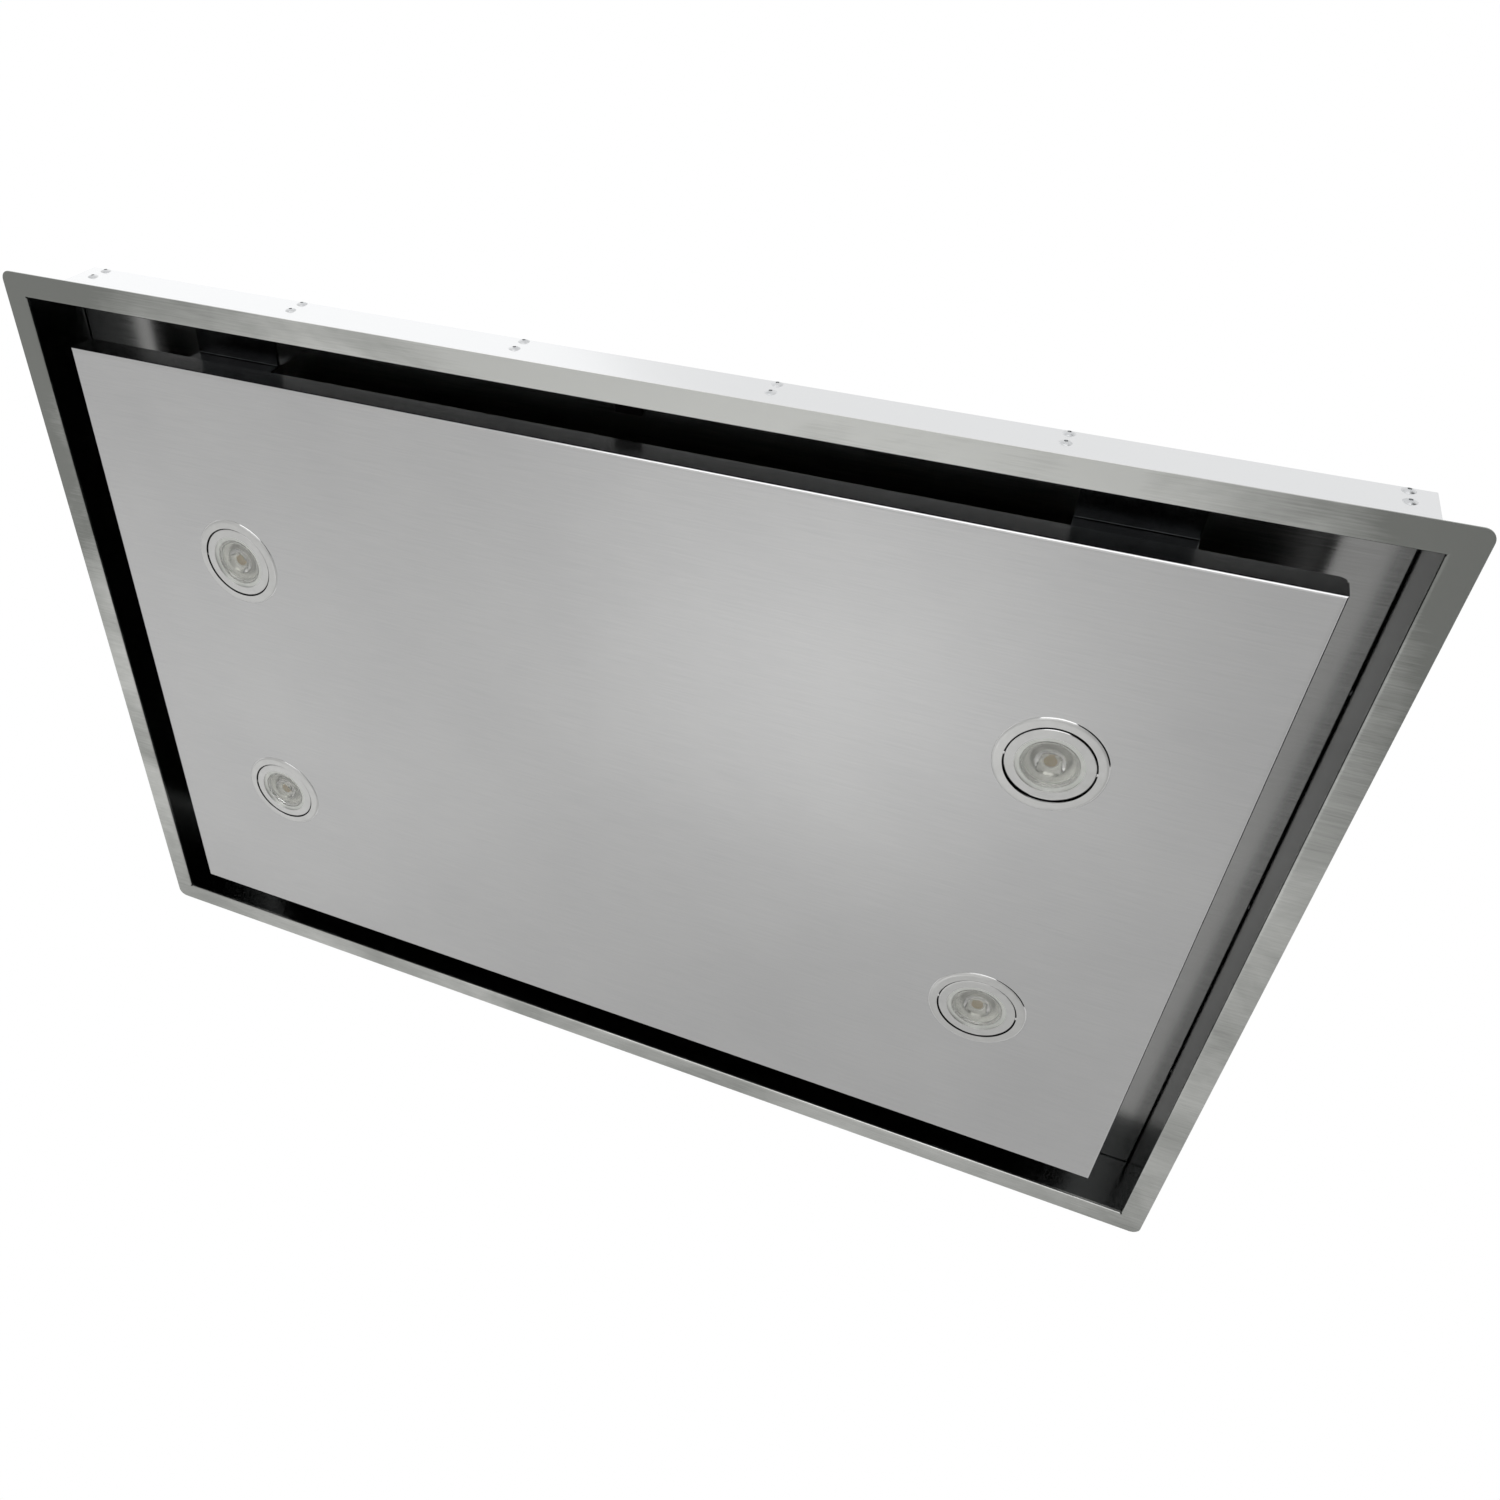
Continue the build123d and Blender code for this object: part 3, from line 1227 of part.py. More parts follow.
panel_below = panel_face - pivot_z  # the panel's face as seen from a lamp's pivot
seat_level = gimbal_lip - gimbal_half  # where the module's face rests on the ring's lip
collar_top = seat_level + module_collar
lens_back = seat_level + lens_height
chip_level = lens_back + reflector_depth
for name, column, row, tilt in LAMPS:
    level, tilted = lamp_planes(column, row, tilt)
    with BuildPart() as bezel_ring:
        bezel_low = panel_below - bezel_face
        bezel_top = panel_below + bezel_depth
        curve_start = (bezel_radius - bezel_rim_width, bezel_low)
        curve_end = (bezel_radius, bezel_low + min(bezel_rim_height, bezel_face - bezel_land))
        section = Plane(origin=level.origin, x_dir=level.x_dir, z_dir=-level.y_dir)
        with BuildSketch(section) as bezel_half:
            with BuildLine():
                Polyline(
                    curve_end,
                    (bezel_radius, panel_below),
                    (bezel_tube, panel_below),
                    (bezel_tube, bezel_top),
                    (bezel_bore, bezel_top),
                    (bezel_bore, bezel_low),
                    curve_start,
                )
                TangentArc(curve_start, curve_end, tangent=(1, 0))
            make_face()
        revolve(bezel_half.sketch, axis=Axis(level.origin, level.z_dir))
        hole(tuple(level.origin), (1, 0, 0), 2 * bezel_tube, gimbal_stud + stud_play)
    save(bezel_ring, f"bezel_ring_{name}")

    with BuildPart() as gimbal_ring:
        rim_radius = math.sqrt(gimbal_radius**2 - gimbal_half**2)
        section = Plane(origin=tilted.origin, x_dir=tilted.x_dir, z_dir=-tilted.y_dir)
        with BuildSketch(section) as ring_half:
            with BuildLine():
                Polyline(
                    (rim_radius, -gimbal_half),
                    (module_radius, -gimbal_half),
                    (module_radius, seat_level),
                    (seat_radius, seat_level),
                    (seat_radius, gimbal_sleeve_top),
                    (sleeve_radius, gimbal_sleeve_top),
                    (sleeve_radius, gimbal_half),
                    (rim_radius, gimbal_half),
                )
                ThreePointArc((rim_radius, gimbal_half), (gimbal_radius, 0), (rim_radius, -gimbal_half))
            make_face()
            fillet(ring_half.vertices().group_by(Axis.Y)[0].sort_by(Axis.X)[-1], gimbal_edge)
        revolve(ring_half.sketch, axis=Axis(tilted.origin, tilted.z_dir))
        stud_start = gimbal_radius - stud_root
        stud_length = bezel_tube - stud_end_gap - stud_start
        for end in (-1, 1):
            stud = (column * lamp_x + end * stud_start, row * lamp_y, pivot_z)
            rod(stud, (end, 0, 0), stud_length, gimbal_stud)
    save(gimbal_ring, f"gimbal_ring_{name}")

    with BuildPart() as led_module:
        lens_room = lens_radius + lens_gap
        body_radius = seat_radius - module_gap
        module_outline = [
            (lens_room, seat_level),
            (body_radius, seat_level),
            (body_radius, collar_top),
            (module_core, collar_top),
            (module_core, seat_level + module_height),
            (0, seat_level + module_height),
            (0, chip_level),
            (chip_radius, chip_level),
            (lens_room - module_floor, lens_back),
            (lens_room, lens_back),
        ]
        turned(module_outline, tilted)
        fin_radius = body_radius - fin_inset
        with BuildSketch(tilted.offset(collar_top)) as fins:
            with PolarLocations(fin_radius / 2, fin_count):
                Rectangle(fin_radius, fin_sheet)
        extrude(fins.sketch, amount=module_height - module_collar)
        with BuildSketch(tilted.offset(chip_level - chip_rise)) as chip:
            Circle(chip_radius)
        extrude(chip.sketch, amount=chip_rise)
    save(led_module, f"led_module_{name}")

    with BuildPart() as lamp_lens:
        lens_outline = [
            (0, seat_level - lens_step),
            (lens_centre, seat_level - lens_step),
            (lens_centre + lens_step, seat_level),
            (lens_radius, seat_level),
            (lens_radius, lens_back),
            (0, lens_back),
        ]
        turned(lens_outline, tilted)
    save(lamp_lens, f"lamp_lens_{name}")

with BuildPart() as lamp_clips:
    inner = bezel_tube + clip_gap
    shoulder = panel_face + bezel_depth - clip_top_gap
    leg_low = panel_floor + clip_lift
    for _, column, row, _ in LAMPS:
        clip_left = column * lamp_x - clip_width / 2
        clip_side = Plane(origin=(clip_left, row * lamp_y, 0), x_dir=(0, 1, 0), z_dir=(1, 0, 0))
        for end in (-1, 1):
            with BuildSketch(clip_side) as strip:
                with BuildLine():
                    Polyline(
                        (end * inner, leg_low),
                        (end * inner, shoulder),
                        (end * (inner + clip_sheet), shoulder),
                        (end * clip_foot, panel_floor + clip_sheet),
                        (end * (clip_foot + clip_toe), panel_floor + clip_sheet),
                        (end * (clip_foot + clip_toe), panel_floor),
                        (end * (clip_foot - clip_sheet), panel_floor),
                        (end * (inner + clip_sheet), shoulder - clip_toe),
                        (end * (inner + clip_sheet), leg_low),
                        close=True,
                    )
                make_face()
            extrude(strip.sketch, amount=clip_width)
save(lamp_clips, "lamp_clips")
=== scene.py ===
import json
import math

import bpy
from bpy.props import FloatProperty, FloatVectorProperty, IntProperty, PointerProperty
from mathutils import Euler, Matrix, Vector


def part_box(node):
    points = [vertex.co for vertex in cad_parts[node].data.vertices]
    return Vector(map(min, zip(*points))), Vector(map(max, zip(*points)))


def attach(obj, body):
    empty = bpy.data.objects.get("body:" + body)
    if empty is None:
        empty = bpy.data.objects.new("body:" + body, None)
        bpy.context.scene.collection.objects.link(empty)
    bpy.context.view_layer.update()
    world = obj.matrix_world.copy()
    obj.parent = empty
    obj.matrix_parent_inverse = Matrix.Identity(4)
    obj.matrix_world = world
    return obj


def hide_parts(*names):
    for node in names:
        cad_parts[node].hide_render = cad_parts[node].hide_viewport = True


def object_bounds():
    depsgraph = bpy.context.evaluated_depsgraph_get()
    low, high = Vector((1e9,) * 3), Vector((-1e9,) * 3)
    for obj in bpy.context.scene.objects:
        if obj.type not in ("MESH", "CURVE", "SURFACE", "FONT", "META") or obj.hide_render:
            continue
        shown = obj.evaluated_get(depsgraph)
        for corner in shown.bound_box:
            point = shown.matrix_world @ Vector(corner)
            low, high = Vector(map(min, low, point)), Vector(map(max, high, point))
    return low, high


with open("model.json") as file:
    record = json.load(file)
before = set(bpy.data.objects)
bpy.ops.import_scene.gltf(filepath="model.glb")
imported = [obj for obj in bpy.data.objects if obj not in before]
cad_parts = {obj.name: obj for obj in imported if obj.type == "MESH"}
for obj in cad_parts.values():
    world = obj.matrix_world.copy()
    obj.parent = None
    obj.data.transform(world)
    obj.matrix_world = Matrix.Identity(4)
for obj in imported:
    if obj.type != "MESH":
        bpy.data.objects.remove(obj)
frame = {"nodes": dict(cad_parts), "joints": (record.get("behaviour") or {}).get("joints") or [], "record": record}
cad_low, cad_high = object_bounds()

# Ceiling range hood: the finishes of its sheet metal, lamps, blower and electrics, the fine parts that
# the solid model leaves plain, and a pale studio. Metres, with Z up into the ceiling.

bl_info = {
    "name": "Ceiling Range Hood",
    "version": (1, 0, 0),
    "blender": (4, 5, 0),
    "location": "View3D > Sidebar > Range Hood",
    "description": "Finishes a ceiling range hood and builds its lenses, filter mesh, springs and studio",
    "category": "Object",
}

MM = 0.001
BRUSH_LENGTH = 45 * MM  # of the hair lines on brushed steel
LAMP_CORNERS = ("front_left", "front_right", "rear_left", "rear_right")
SIDES = ("left", "right")


# ---------------------------------------------------------------- colours and nodes
def linear(hex_colour):
    """The linear values of an sRGB hex colour."""
    channels = (int(hex_colour[i : i + 2], 16) / 255 for i in (1, 3, 5))
    return tuple(c / 12.92 if c <= 0.04045 else ((c + 0.055) / 1.055) ** 2.4 for c in channels)


def add_node(tree, kind, inputs=None, stops=(), **settings):
    """Adds a node. inputs maps a socket's name or number to a value or to another node's output,
    and stops are the places and colours of a colour ramp."""
    node = tree.nodes.new(kind)
    for setting, value in settings.items():
        setattr(node, setting, value)
    for socket, value in (inputs or {}).items():
        if isinstance(value, bpy.types.NodeSocket):
            tree.links.new(value, node.inputs[socket])
        else:
            node.inputs[socket].default_value = value
    for i, (place, colour) in enumerate(stops):
        element = node.color_ramp.elements[i] if i < 2 else node.color_ramp.elements.new(place)
        element.position = place
        element.color = (*colour, 1.0)
    return node


def new_material(name):
    """An empty node material and its tree."""
    material = bpy.data.materials.new(name)
    material.use_nodes = True
    material.node_tree.nodes.clear()
    return material, material.node_tree


def close_material(tree, inputs):
    """Ends a tree in one shader and the output."""
    shader = add_node(tree, "ShaderNodeBsdfPrincipled", inputs)
    add_node(tree, "ShaderNodeOutputMaterial", {"Surface": shader.outputs["BSDF"]})


# ---------------------------------------------------------------- finishes
def object_place(tree):
    """Where a point lies on its piece, in metres."""
    return add_node(tree, "ShaderNodeTexCoord").outputs["Object"]


def facing(tree):
    """Which way the surface faces, along the piece's own axes."""
    return add_node(tree, "ShaderNodeTexCoord").outputs["Normal"]


def calculated(tree, operation, *values):
    """The result of a math node on numbers and other nodes' outputs, in the operation's order."""
    return add_node(tree, "ShaderNodeMath", dict(enumerate(values)), operation=operation).outputs[0]


def mixed(tree, factor, first, second, kind="FLOAT"):
    """The first of two values at factor 0 and the second at factor 1. kind is FLOAT, VECTOR or RGBA."""
    socket, output = {"FLOAT": (2, 0), "VECTOR": (4, 1), "RGBA": (6, 2)}[kind]
    blend = add_node(tree, "ShaderNodeMix", {0: factor, socket: first, socket + 1: second}, data_type=kind)
    return blend.outputs[output]


def remapped(tree, value, to_min, to_max, from_min=0.0, from_max=1.0):
    """Carries a value over from one range to another and holds it there."""
    limits = {"From Min": from_min, "From Max": from_max, "To Min": to_min, "To Max": to_max}
    return add_node(tree, "ShaderNodeMapRange", {"Value": value, **limits}).outputs[0]


def noise(tree, place, scale, detail, roughness, distortion=0.0):
    """Smooth noise about 0.5, with scale waves to the unit of place."""
    look = {"Scale": scale, "Detail": detail, "Roughness": roughness, "Distortion": distortion}
    return add_node(tree, "ShaderNodeTexNoise", {"Vector": place, **look}).outputs["Fac"]


def cells(tree, place, width):
    """Irregular cells of about one width."""
    look = {"Vector": place, "Scale": 1 / width, "Randomness": 1.0}
    return add_node(tree, "ShaderNodeTexVoronoi", look, feature="F1").outputs


def ramp(tree, factor, dark, light, start=0.0, end=1.0):
    """A colour that goes from dark at start to light at end."""
    stops = ((start, dark), (end, light))
    return add_node(tree, "ShaderNodeValToRGB", {"Fac": factor}, stops).outputs["Color"]


def relief(tree, height, strength, depth):
    """The normal of a surface with a fine relief."""
    look = {"Height": height, "Strength": strength, "Distance": depth}
    return add_node(tree, "ShaderNodeBump", look).outputs["Normal"]


def brush_lines(tree, place, width):
    """Hair lines along the brush: along X, and along Y on walls that face sideways."""
    sideways_from = 0.7  # the least X of the normal of such a wall
    along_x, along_y = (
        add_node(tree, "ShaderNodeMapping", {"Vector": place, "Scale": scale}).outputs[0]
        for scale in (
            (1 / BRUSH_LENGTH, 1 / width, 1 / width),
            (1 / width, 1 / BRUSH_LENGTH, 1 / width),
        )
    )
    sideways = add_node(tree, "ShaderNodeSeparateXYZ", {"Vector": facing(tree)}).outputs["X"]
    end_wall = calculated(tree, "GREATER_THAN", calculated(tree, "ABSOLUTE", sideways), sideways_from)
    return noise(tree, mixed(tree, end_wall, along_x, along_y, "VECTOR"), 1.0, 4.0, 0.65)


def brushed_steel(name, light, dark, roughness, grain_width, strength=0.05):
    """Stainless steel sheet brushed with a belt along its length. The belt leaves hair lines of about
    0.05 mm, which blur reflections across the grain; here they are drawn as wide as the picture can
    hold. Slow clouds of rolling and handling shift the grey by a few percent."""
    material, tree = new_material(name)
    place = object_place(tree)
    hair = brush_lines(tree, place, grain_width)
    cloud = noise(tree, place, 7.0, 3.0, 0.5)
    shade = calculated(tree, "MULTIPLY_ADD", cloud, 0.6, hair)
    tone = remapped(tree, shade, 0.0, 1.0, 0.45, 1.15)
    close_material(
        tree,
        {"Base Color": ramp(tree, tone, dark, light), "Metallic": 1.0,
         "Roughness": remapped(tree, hair, roughness - 0.03, roughness + 0.03, 0.3, 0.7),
         "Normal": relief(tree, hair, strength, 0.3 * MM)},
    )
    return material


def flange_steel_painted_light_and_shade(name, light, dark, wall, inside, roughness, wall_roughness, grain_width):
    """The frame's brushed stainless steel. Its flange is a little rougher than the wall and carries cloudy
    smears of random tone. Painted shade darkens it towards the front corners and along the front's left
    half, and painted light brightens it along the front. The wall's outside keeps the sheet's own
    brightness. Its inside gets a dark colour, painted shade for the dim well behind the intake slot."""
    above_flange = 2.5 * MM  # everything higher is wall
    corner_power, front_power = 6.0, 3.0  # how closely the painted shade keeps to the corners and to the front
    left_reach, left_shade_depth = 0.6, 0.25  # share of the left half over which the painted shade grows, and how dark it gets there
    front_painted_light, hair_share = 0.3, 0.35  # how much brighter the front is painted, as painted light, and the hair lines' share
    material, tree = new_material(name)
    place = object_place(tree)
    hair = brush_lines(tree, place, grain_width)
    smear_place = add_node(tree, "ShaderNodeMapping", {"Vector": place, "Scale": (5.0, 9.0, 9.0)})
    smear = noise(tree, smear_place.outputs[0], 1.0, 5.0, 0.62, 0.6)
    axes = add_node(tree, "ShaderNodeSeparateXYZ", {"Vector": place}).outputs
    along = calculated(tree, "DIVIDE", axes["X"], cad_high.x)
    near = remapped(tree, axes["Y"], 0.0, 1.0, cad_high.y, cad_low.y)
    either_end = calculated(tree, "POWER", calculated(tree, "ABSOLUTE", along), corner_power)
    left_side = remapped(tree, along, 0.0, left_shade_depth, 0.0, -left_reach)
    # Painted shade: darker towards the front corners and over the front's left half.
    painted_shade = calculated(
        tree, "MULTIPLY", calculated(tree, "ADD", either_end, left_side),
        calculated(tree, "POWER", near, front_power),
    )
    # Painted light along the front, added to the random smears.
    smears_and_painted_light = calculated(tree, "MULTIPLY_ADD", near, front_painted_light, smear)
    smears_light_and_shade = calculated(tree, "SUBTRACT", smears_and_painted_light, painted_shade)
    tone = calculated(tree, "MULTIPLY_ADD", hair, hair_share, smears_light_and_shade)
    flange = ramp(tree, remapped(tree, tone, 0.0, 1.0, 0.4, 0.9), dark, light)
    flange_gloss = remapped(tree, smear, roughness + 0.06, roughness - 0.04, 0.3, 0.7)
    outward = add_node(tree, "ShaderNodeVectorMath", {0: place, 1: facing(tree)}, operation="DOT_PRODUCT")
    faces_in = calculated(tree, "LESS_THAN", outward.outputs["Value"], 0.0)
    # Inward faces of the wall take the inside colour, painted shade for the dim well.
    walls = mixed(tree, faces_in, (*wall, 1.0), (*inside, 1.0), "RGBA")
    above = calculated(tree, "GREATER_THAN", axes["Z"], above_flange)
    close_material(
        tree,
        {"Base Color": mixed(tree, above, flange, walls, "RGBA"), "Metallic": 1.0,
         "Roughness": mixed(tree, above, flange_gloss, wall_roughness),
         "Normal": relief(tree, hair, 0.05, 0.3 * MM)},
    )
    return material


def spangled_zinc(name, light, dark, roughness, spangle):
    """Hot-dip galvanised sheet. The zinc freezes into flat crystals, the spangle, each of which
    reflects a little lighter or darker than its neighbour."""
    material, tree = new_material(name)
    place = object_place(tree)
    crystals = cells(tree, place, spangle)
    shade = add_node(tree, "ShaderNodeSeparateXYZ", {"Vector": crystals["Color"]}).outputs
    feather = noise(tree, place, 2.5 / spangle, 4.0, 0.7)
    tone = calculated(tree, "MULTIPLY_ADD", feather, 0.6, shade["X"])
    close_material(
        tree,
        {"Base Color": ramp(tree, remapped(tree, tone, 0.0, 1.0, 0.1, 1.4), dark, light), "Metallic": 0.9,
         "Roughness": remapped(tree, shade["Y"], roughness - 0.07, roughness + 0.1),
         "Normal": relief(tree, feather, 0.08, 0.2 * MM)},
    )
    return material


def plated_metal(name, light, dark, roughness, blotch, strength=0.03):
    """Smooth plated, turned or drawn metal: one clean colour with faint blotches from the bath or the
    tool, and a fine grit in the gloss that softens its highlights."""
    material, tree = new_material(name)
    place = object_place(tree)
    blotches = noise(tree, place, 1 / blotch, 3.0, 0.55)
    grit = noise(tree, place, 12 / blotch, 2.0, 0.6)
    close_material(
        tree,
        {"Base Color": ramp(tree, blotches, dark, light, 0.3, 0.7), "Metallic": 1.0,
         "Roughness": remapped(tree, grit, max(roughness - 0.05, 0.02), roughness + 0.05, 0.3, 0.7),
         "Normal": relief(tree, grit, strength, 0.1 * MM)},
    )
    return material


def cast_metal(name, light, dark, roughness, grain):
    """Pressure die-cast aluminium. The die's skin is matt and slightly pitted, with grey flow marks."""
    material, tree = new_material(name)
    place = object_place(tree)
    skin = noise(tree, place, 1 / grain, 5.0, 0.7)
    flow = noise(tree, place, 0.05 / grain, 3.0, 0.5, 1.2)
    close_material(
        tree,
        {"Base Color": ramp(tree, flow, dark, light, 0.3, 0.7), "Metallic": 0.85, "Roughness": roughness,
         "Normal": relief(tree, skin, 0.25, 0.2 * MM)},
    )
    return material


def moulded_plastic(name, light, dark, roughness, grain, sheen=0.0):
    """Injection-moulded plastic or rubber. The tool's spark-eroded skin breaks the gloss into a fine
    grain, and the pigment clouds a little round the gate."""
    material, tree = new_material(name)
    place = object_place(tree)
    pits = cells(tree, place, grain)["Distance"]
    cloud = noise(tree, place, 30.0, 3.0, 0.5)
    close_material(
        tree,
        {"Base Color": ramp(tree, cloud, dark, light, 0.3, 0.7), "Metallic": 0.0,
         "Roughness": remapped(tree, pits, roughness - 0.05, roughness + 0.08),
         "IOR": 1.5, "Sheen Weight": sheen, "Normal": relief(tree, pits, 0.12, 0.1 * MM)},
    )
    return material


def glass_epoxy_board(name, mask, track, track_pitch):
    """Glass-epoxy circuit board under green solder mask. The mask is thin, so the copper tracks below
    show as slightly lighter, raised lines."""
    material, tree = new_material(name)
    tracks = add_node(
        tree, "ShaderNodeTexBrick",
        {"Vector": object_place(tree), "Scale": 1 / track_pitch, "Mortar Size": 0.06, "Mortar Smooth": 0.2,
         "Color1": (0, 0, 0, 1), "Color2": (0, 0, 0, 1), "Mortar": (1, 1, 1, 1),
         "Brick Width": 2.3, "Row Height": 0.9},
        offset=0.37, squash=0.6, squash_frequency=3,
    ).outputs["Color"]
    close_material(
        tree,
        {"Base Color": ramp(tree, tracks, mask, track), "Metallic": 0.0, "Roughness": 0.32, "IOR": 1.55,
         "Normal": relief(tree, tracks, 0.3, 0.05 * MM)},
    )
    return material


def optical_acrylic(name, tint, ripple):
    """Clear acrylic, as moulded for a lamp's lens, with a fine texture on its back that spreads the
    light. It is seen mostly by what it bends and reflects and a little as a pale grey haze, and its
    skin has the slow waves of a moulding."""
    material, tree = new_material(name)
    waves = noise(tree, object_place(tree), 1 / ripple, 2.0, 0.5)
    close_material(
        tree,
        {"Base Color": (*tint, 1.0), "Metallic": 0.0, "Roughness": remapped(tree, waves, 0.0, 0.05),
         "IOR": 1.49, "Transmission Weight": 0.86, "Normal": relief(tree, waves, 0.12, 0.1 * MM)},
    )
    return material


def phosphor_gel(name, light, dark, grain):
    """Silicone filled with yellow phosphor over the light-emitting chips: soft, slightly glossy, and
    mottled where the powder has settled."""
    material, tree = new_material(name)
    powder = noise(tree, object_place(tree), 1 / grain, 4.0, 0.7)
    close_material(
        tree,
        {"Base Color": ramp(tree, powder, dark, light, 0.3, 0.7), "Metallic": 0.0, "Roughness": 0.35,
         "IOR": 1.42, "Subsurface Weight": 0.15, "Subsurface Scale": 0.5 * MM},
    )
    return material


# ---------------------------------------------------------------- shapes
def mesh_object(name, points, faces, material, smooth_angle=35.0):
    """A linked mesh object at the origin, smooth but for its creases."""
    mesh = bpy.data.meshes.new(name)
    mesh.from_pydata(points, [], faces)
    mesh.validate()
    mesh.materials.append(material)
    mesh.shade_smooth()
    mesh.set_sharp_from_angle(angle=math.radians(smooth_angle))
    piece = bpy.data.objects.new(name, mesh)
    bpy.context.scene.collection.objects.link(piece)
    return piece


def in_metres(outline, base=0.0):
    """An outline for turned_piece from one in millimetres, with its heights over base. A point is a
    radius and a height, with a rib height where there are ribs."""
    return [(radius * MM, base + height * MM, sum(rib) * MM) for radius, height, *rib in outline]


def turned_piece(name, outline, steps, material, place, ribs=0, smooth_angle=35.0):
    """A closed shape turned about Z. outline holds (radius, height, rib height) from the axis below,
    outwards and back to the axis above, so that its faces point outwards, and place moves it."""
    points, rings, faces = [], [], []
    for radius, height, rib in outline:
        if radius == 0:
            rings.append([len(points)])
            points.append(place @ Vector((0, 0, height)))
            continue
        first = len(points)
        for i in range(steps):
            angle = math.tau * i / steps
            lift = rib * math.cos(ribs * angle)
            around = radius * math.cos(angle), radius * math.sin(angle)
            points.append(place @ Vector((*around, height + lift)))
        rings.append(list(range(first, len(points))))
    for inner, outer in zip(rings, rings[1:]):
        for i in range(steps):
            after = (i + 1) % steps
            if len(inner) == 1:
                faces.append((inner[0], outer[after], outer[i]))
            elif len(outer) == 1:
                faces.append((inner[i], inner[after], outer[0]))
            else:
                faces.append((inner[i], inner[after], outer[after], outer[i]))
    return mesh_object(name, points, faces, material, smooth_angle)


SOCKET_KINDS = (
    (bpy.types.Material, "NodeSocketMaterial"),
    (int, "NodeSocketInt"),
    (tuple, "NodeSocketVector"),
    (float, "NodeSocketFloat"),
)


def geometry_tree(name, sizes):
    """A geometry node tree with one named input for each size, and those inputs for its nodes."""
    tree = bpy.data.node_groups.new(name, "GeometryNodeTree")
    tree.interface.new_socket("Geometry", in_out="OUTPUT", socket_type="NodeSocketGeometry")
    for size, value in sizes.items():
        kind = next(socket for kind_of_value, socket in SOCKET_KINDS if isinstance(value, kind_of_value))
        tree.interface.new_socket(size, in_out="INPUT", socket_type=kind)
    return tree, add_node(tree, "NodeGroupInput").outputs


def end_tree(tree, geometry, material):
    """Ends a tree in Realize Instances and Set Material."""
    real = add_node(tree, "GeometryNodeRealizeInstances", {"Geometry": geometry})
    dressed = add_node(tree, "GeometryNodeSetMaterial", {"Geometry": real.outputs[0], "Material": material})
    add_node(tree, "NodeGroupOutput", {0: dressed.outputs[0]})


def grown_piece(name, tree, sizes, place=Matrix.Identity(4), smooth_angle=35.0):
    """Runs a geometry node tree with its named sizes and keeps the result as a plain mesh object."""
    piece = bpy.data.objects.new(name, bpy.data.meshes.new(name + "_start"))
    bpy.context.scene.collection.objects.link(piece)
    shape = piece.modifiers.new("Shape", "NODES")
    shape.node_group = tree
    for socket in tree.interface.items_tree:
        if socket.item_type == "SOCKET" and socket.in_out == "INPUT":
            shape[socket.identifier] = sizes[socket.name]
    bpy.context.view_layer.update()
    result = piece.evaluated_get(bpy.context.evaluated_depsgraph_get())
    mesh = bpy.data.meshes.new_from_object(result)
    if not mesh.polygons:
        raise RuntimeError(f"{name}: its tree made no faces")
    piece.modifiers.remove(shape)
    piece.data = mesh
    mesh.name = name
    mesh.transform(place)
    mesh.shade_smooth()
    mesh.set_sharp_from_angle(angle=math.radians(smooth_angle))
    return piece


# ---------------------------------------------------------------- settings a user may change
class HoodMetalSettings(bpy.types.PropertyGroup):
    panel_light: FloatVectorProperty(
        name="Panel, light", description="Lighter tone of the brushed suction panel",
        subtype="COLOR", size=3, min=0.0, max=1.0, default=linear("#D9D9DA"),
    )
    panel_dark: FloatVectorProperty(
        name="Panel, dark", description="Darker tone of the brushed suction panel",
        subtype="COLOR", size=3, min=0.0, max=1.0, default=linear("#CBCBCD"),
    )
    # The flange's dark tone is reached in random smears and in painted shade at the front corners and left half;
    # its light tone in random smears and in painted light along the front.
    flange_light: FloatVectorProperty(
        name="Flange, light", description="Wiped parts of the flange",
        subtype="COLOR", size=3, min=0.0, max=1.0, default=linear("#E0E1DF"),
    )
    flange_dark: FloatVectorProperty(
        name="Flange, dark", description="Smeared parts of the flange",
        subtype="COLOR", size=3, min=0.0, max=1.0, default=linear("#919390"),
    )
    wall_colour: FloatVectorProperty(
        name="Frame wall", description="The frame's wall above the flange",
        subtype="COLOR", size=3, min=0.0, max=1.0, default=linear("#DEDFE0"),
    )
    # Painted shade: the wall's inner face is given a dark colour for the dim well.
    inside_shade_colour: FloatVectorProperty(
        name="Frame inside", description="The wall's inner face, seen through the intake slot",
        subtype="COLOR", size=3, min=0.0, max=1.0, default=linear("#5C5E5E"),
    )
    grain_width: FloatProperty(
        name="Grain width", description="Width at which the brush's hair lines are drawn",
        unit="LENGTH", min=0.0002, max=0.01, default=1.1 * MM,
    )
    spangle: FloatProperty(
        name="Spangle", description="Width of a zinc crystal on the galvanised sheet",
        unit="LENGTH", min=0.001, max=0.05, default=9.0 * MM,
    )


class HoodLampSettings(bpy.types.PropertyGroup):
    lens_tint: FloatVectorProperty(
        name="Lens tint", description="Faint colour of the clear lens",
        subtype="COLOR", size=3, min=0.0, max=1.0, default=linear("#FCFCFA"),
    )
    phosphor_colour: FloatVectorProperty(
        name="Phosphor", description="Colour of the unlit emitter",
        subtype="COLOR", size=3, min=0.0, max=1.0, default=linear("#BDA35F"),
    )
    emitter_radius: FloatProperty(
        name="Emitter radius", description="Radius of the phosphor disc",
        unit="LENGTH", min=0.001, max=0.005, default=4.6 * MM,
    )
    rib_count: IntProperty(
        name="Lens ribs", description="Fine ribs round the middle of the lens", min=8, max=60, default=36,
    )


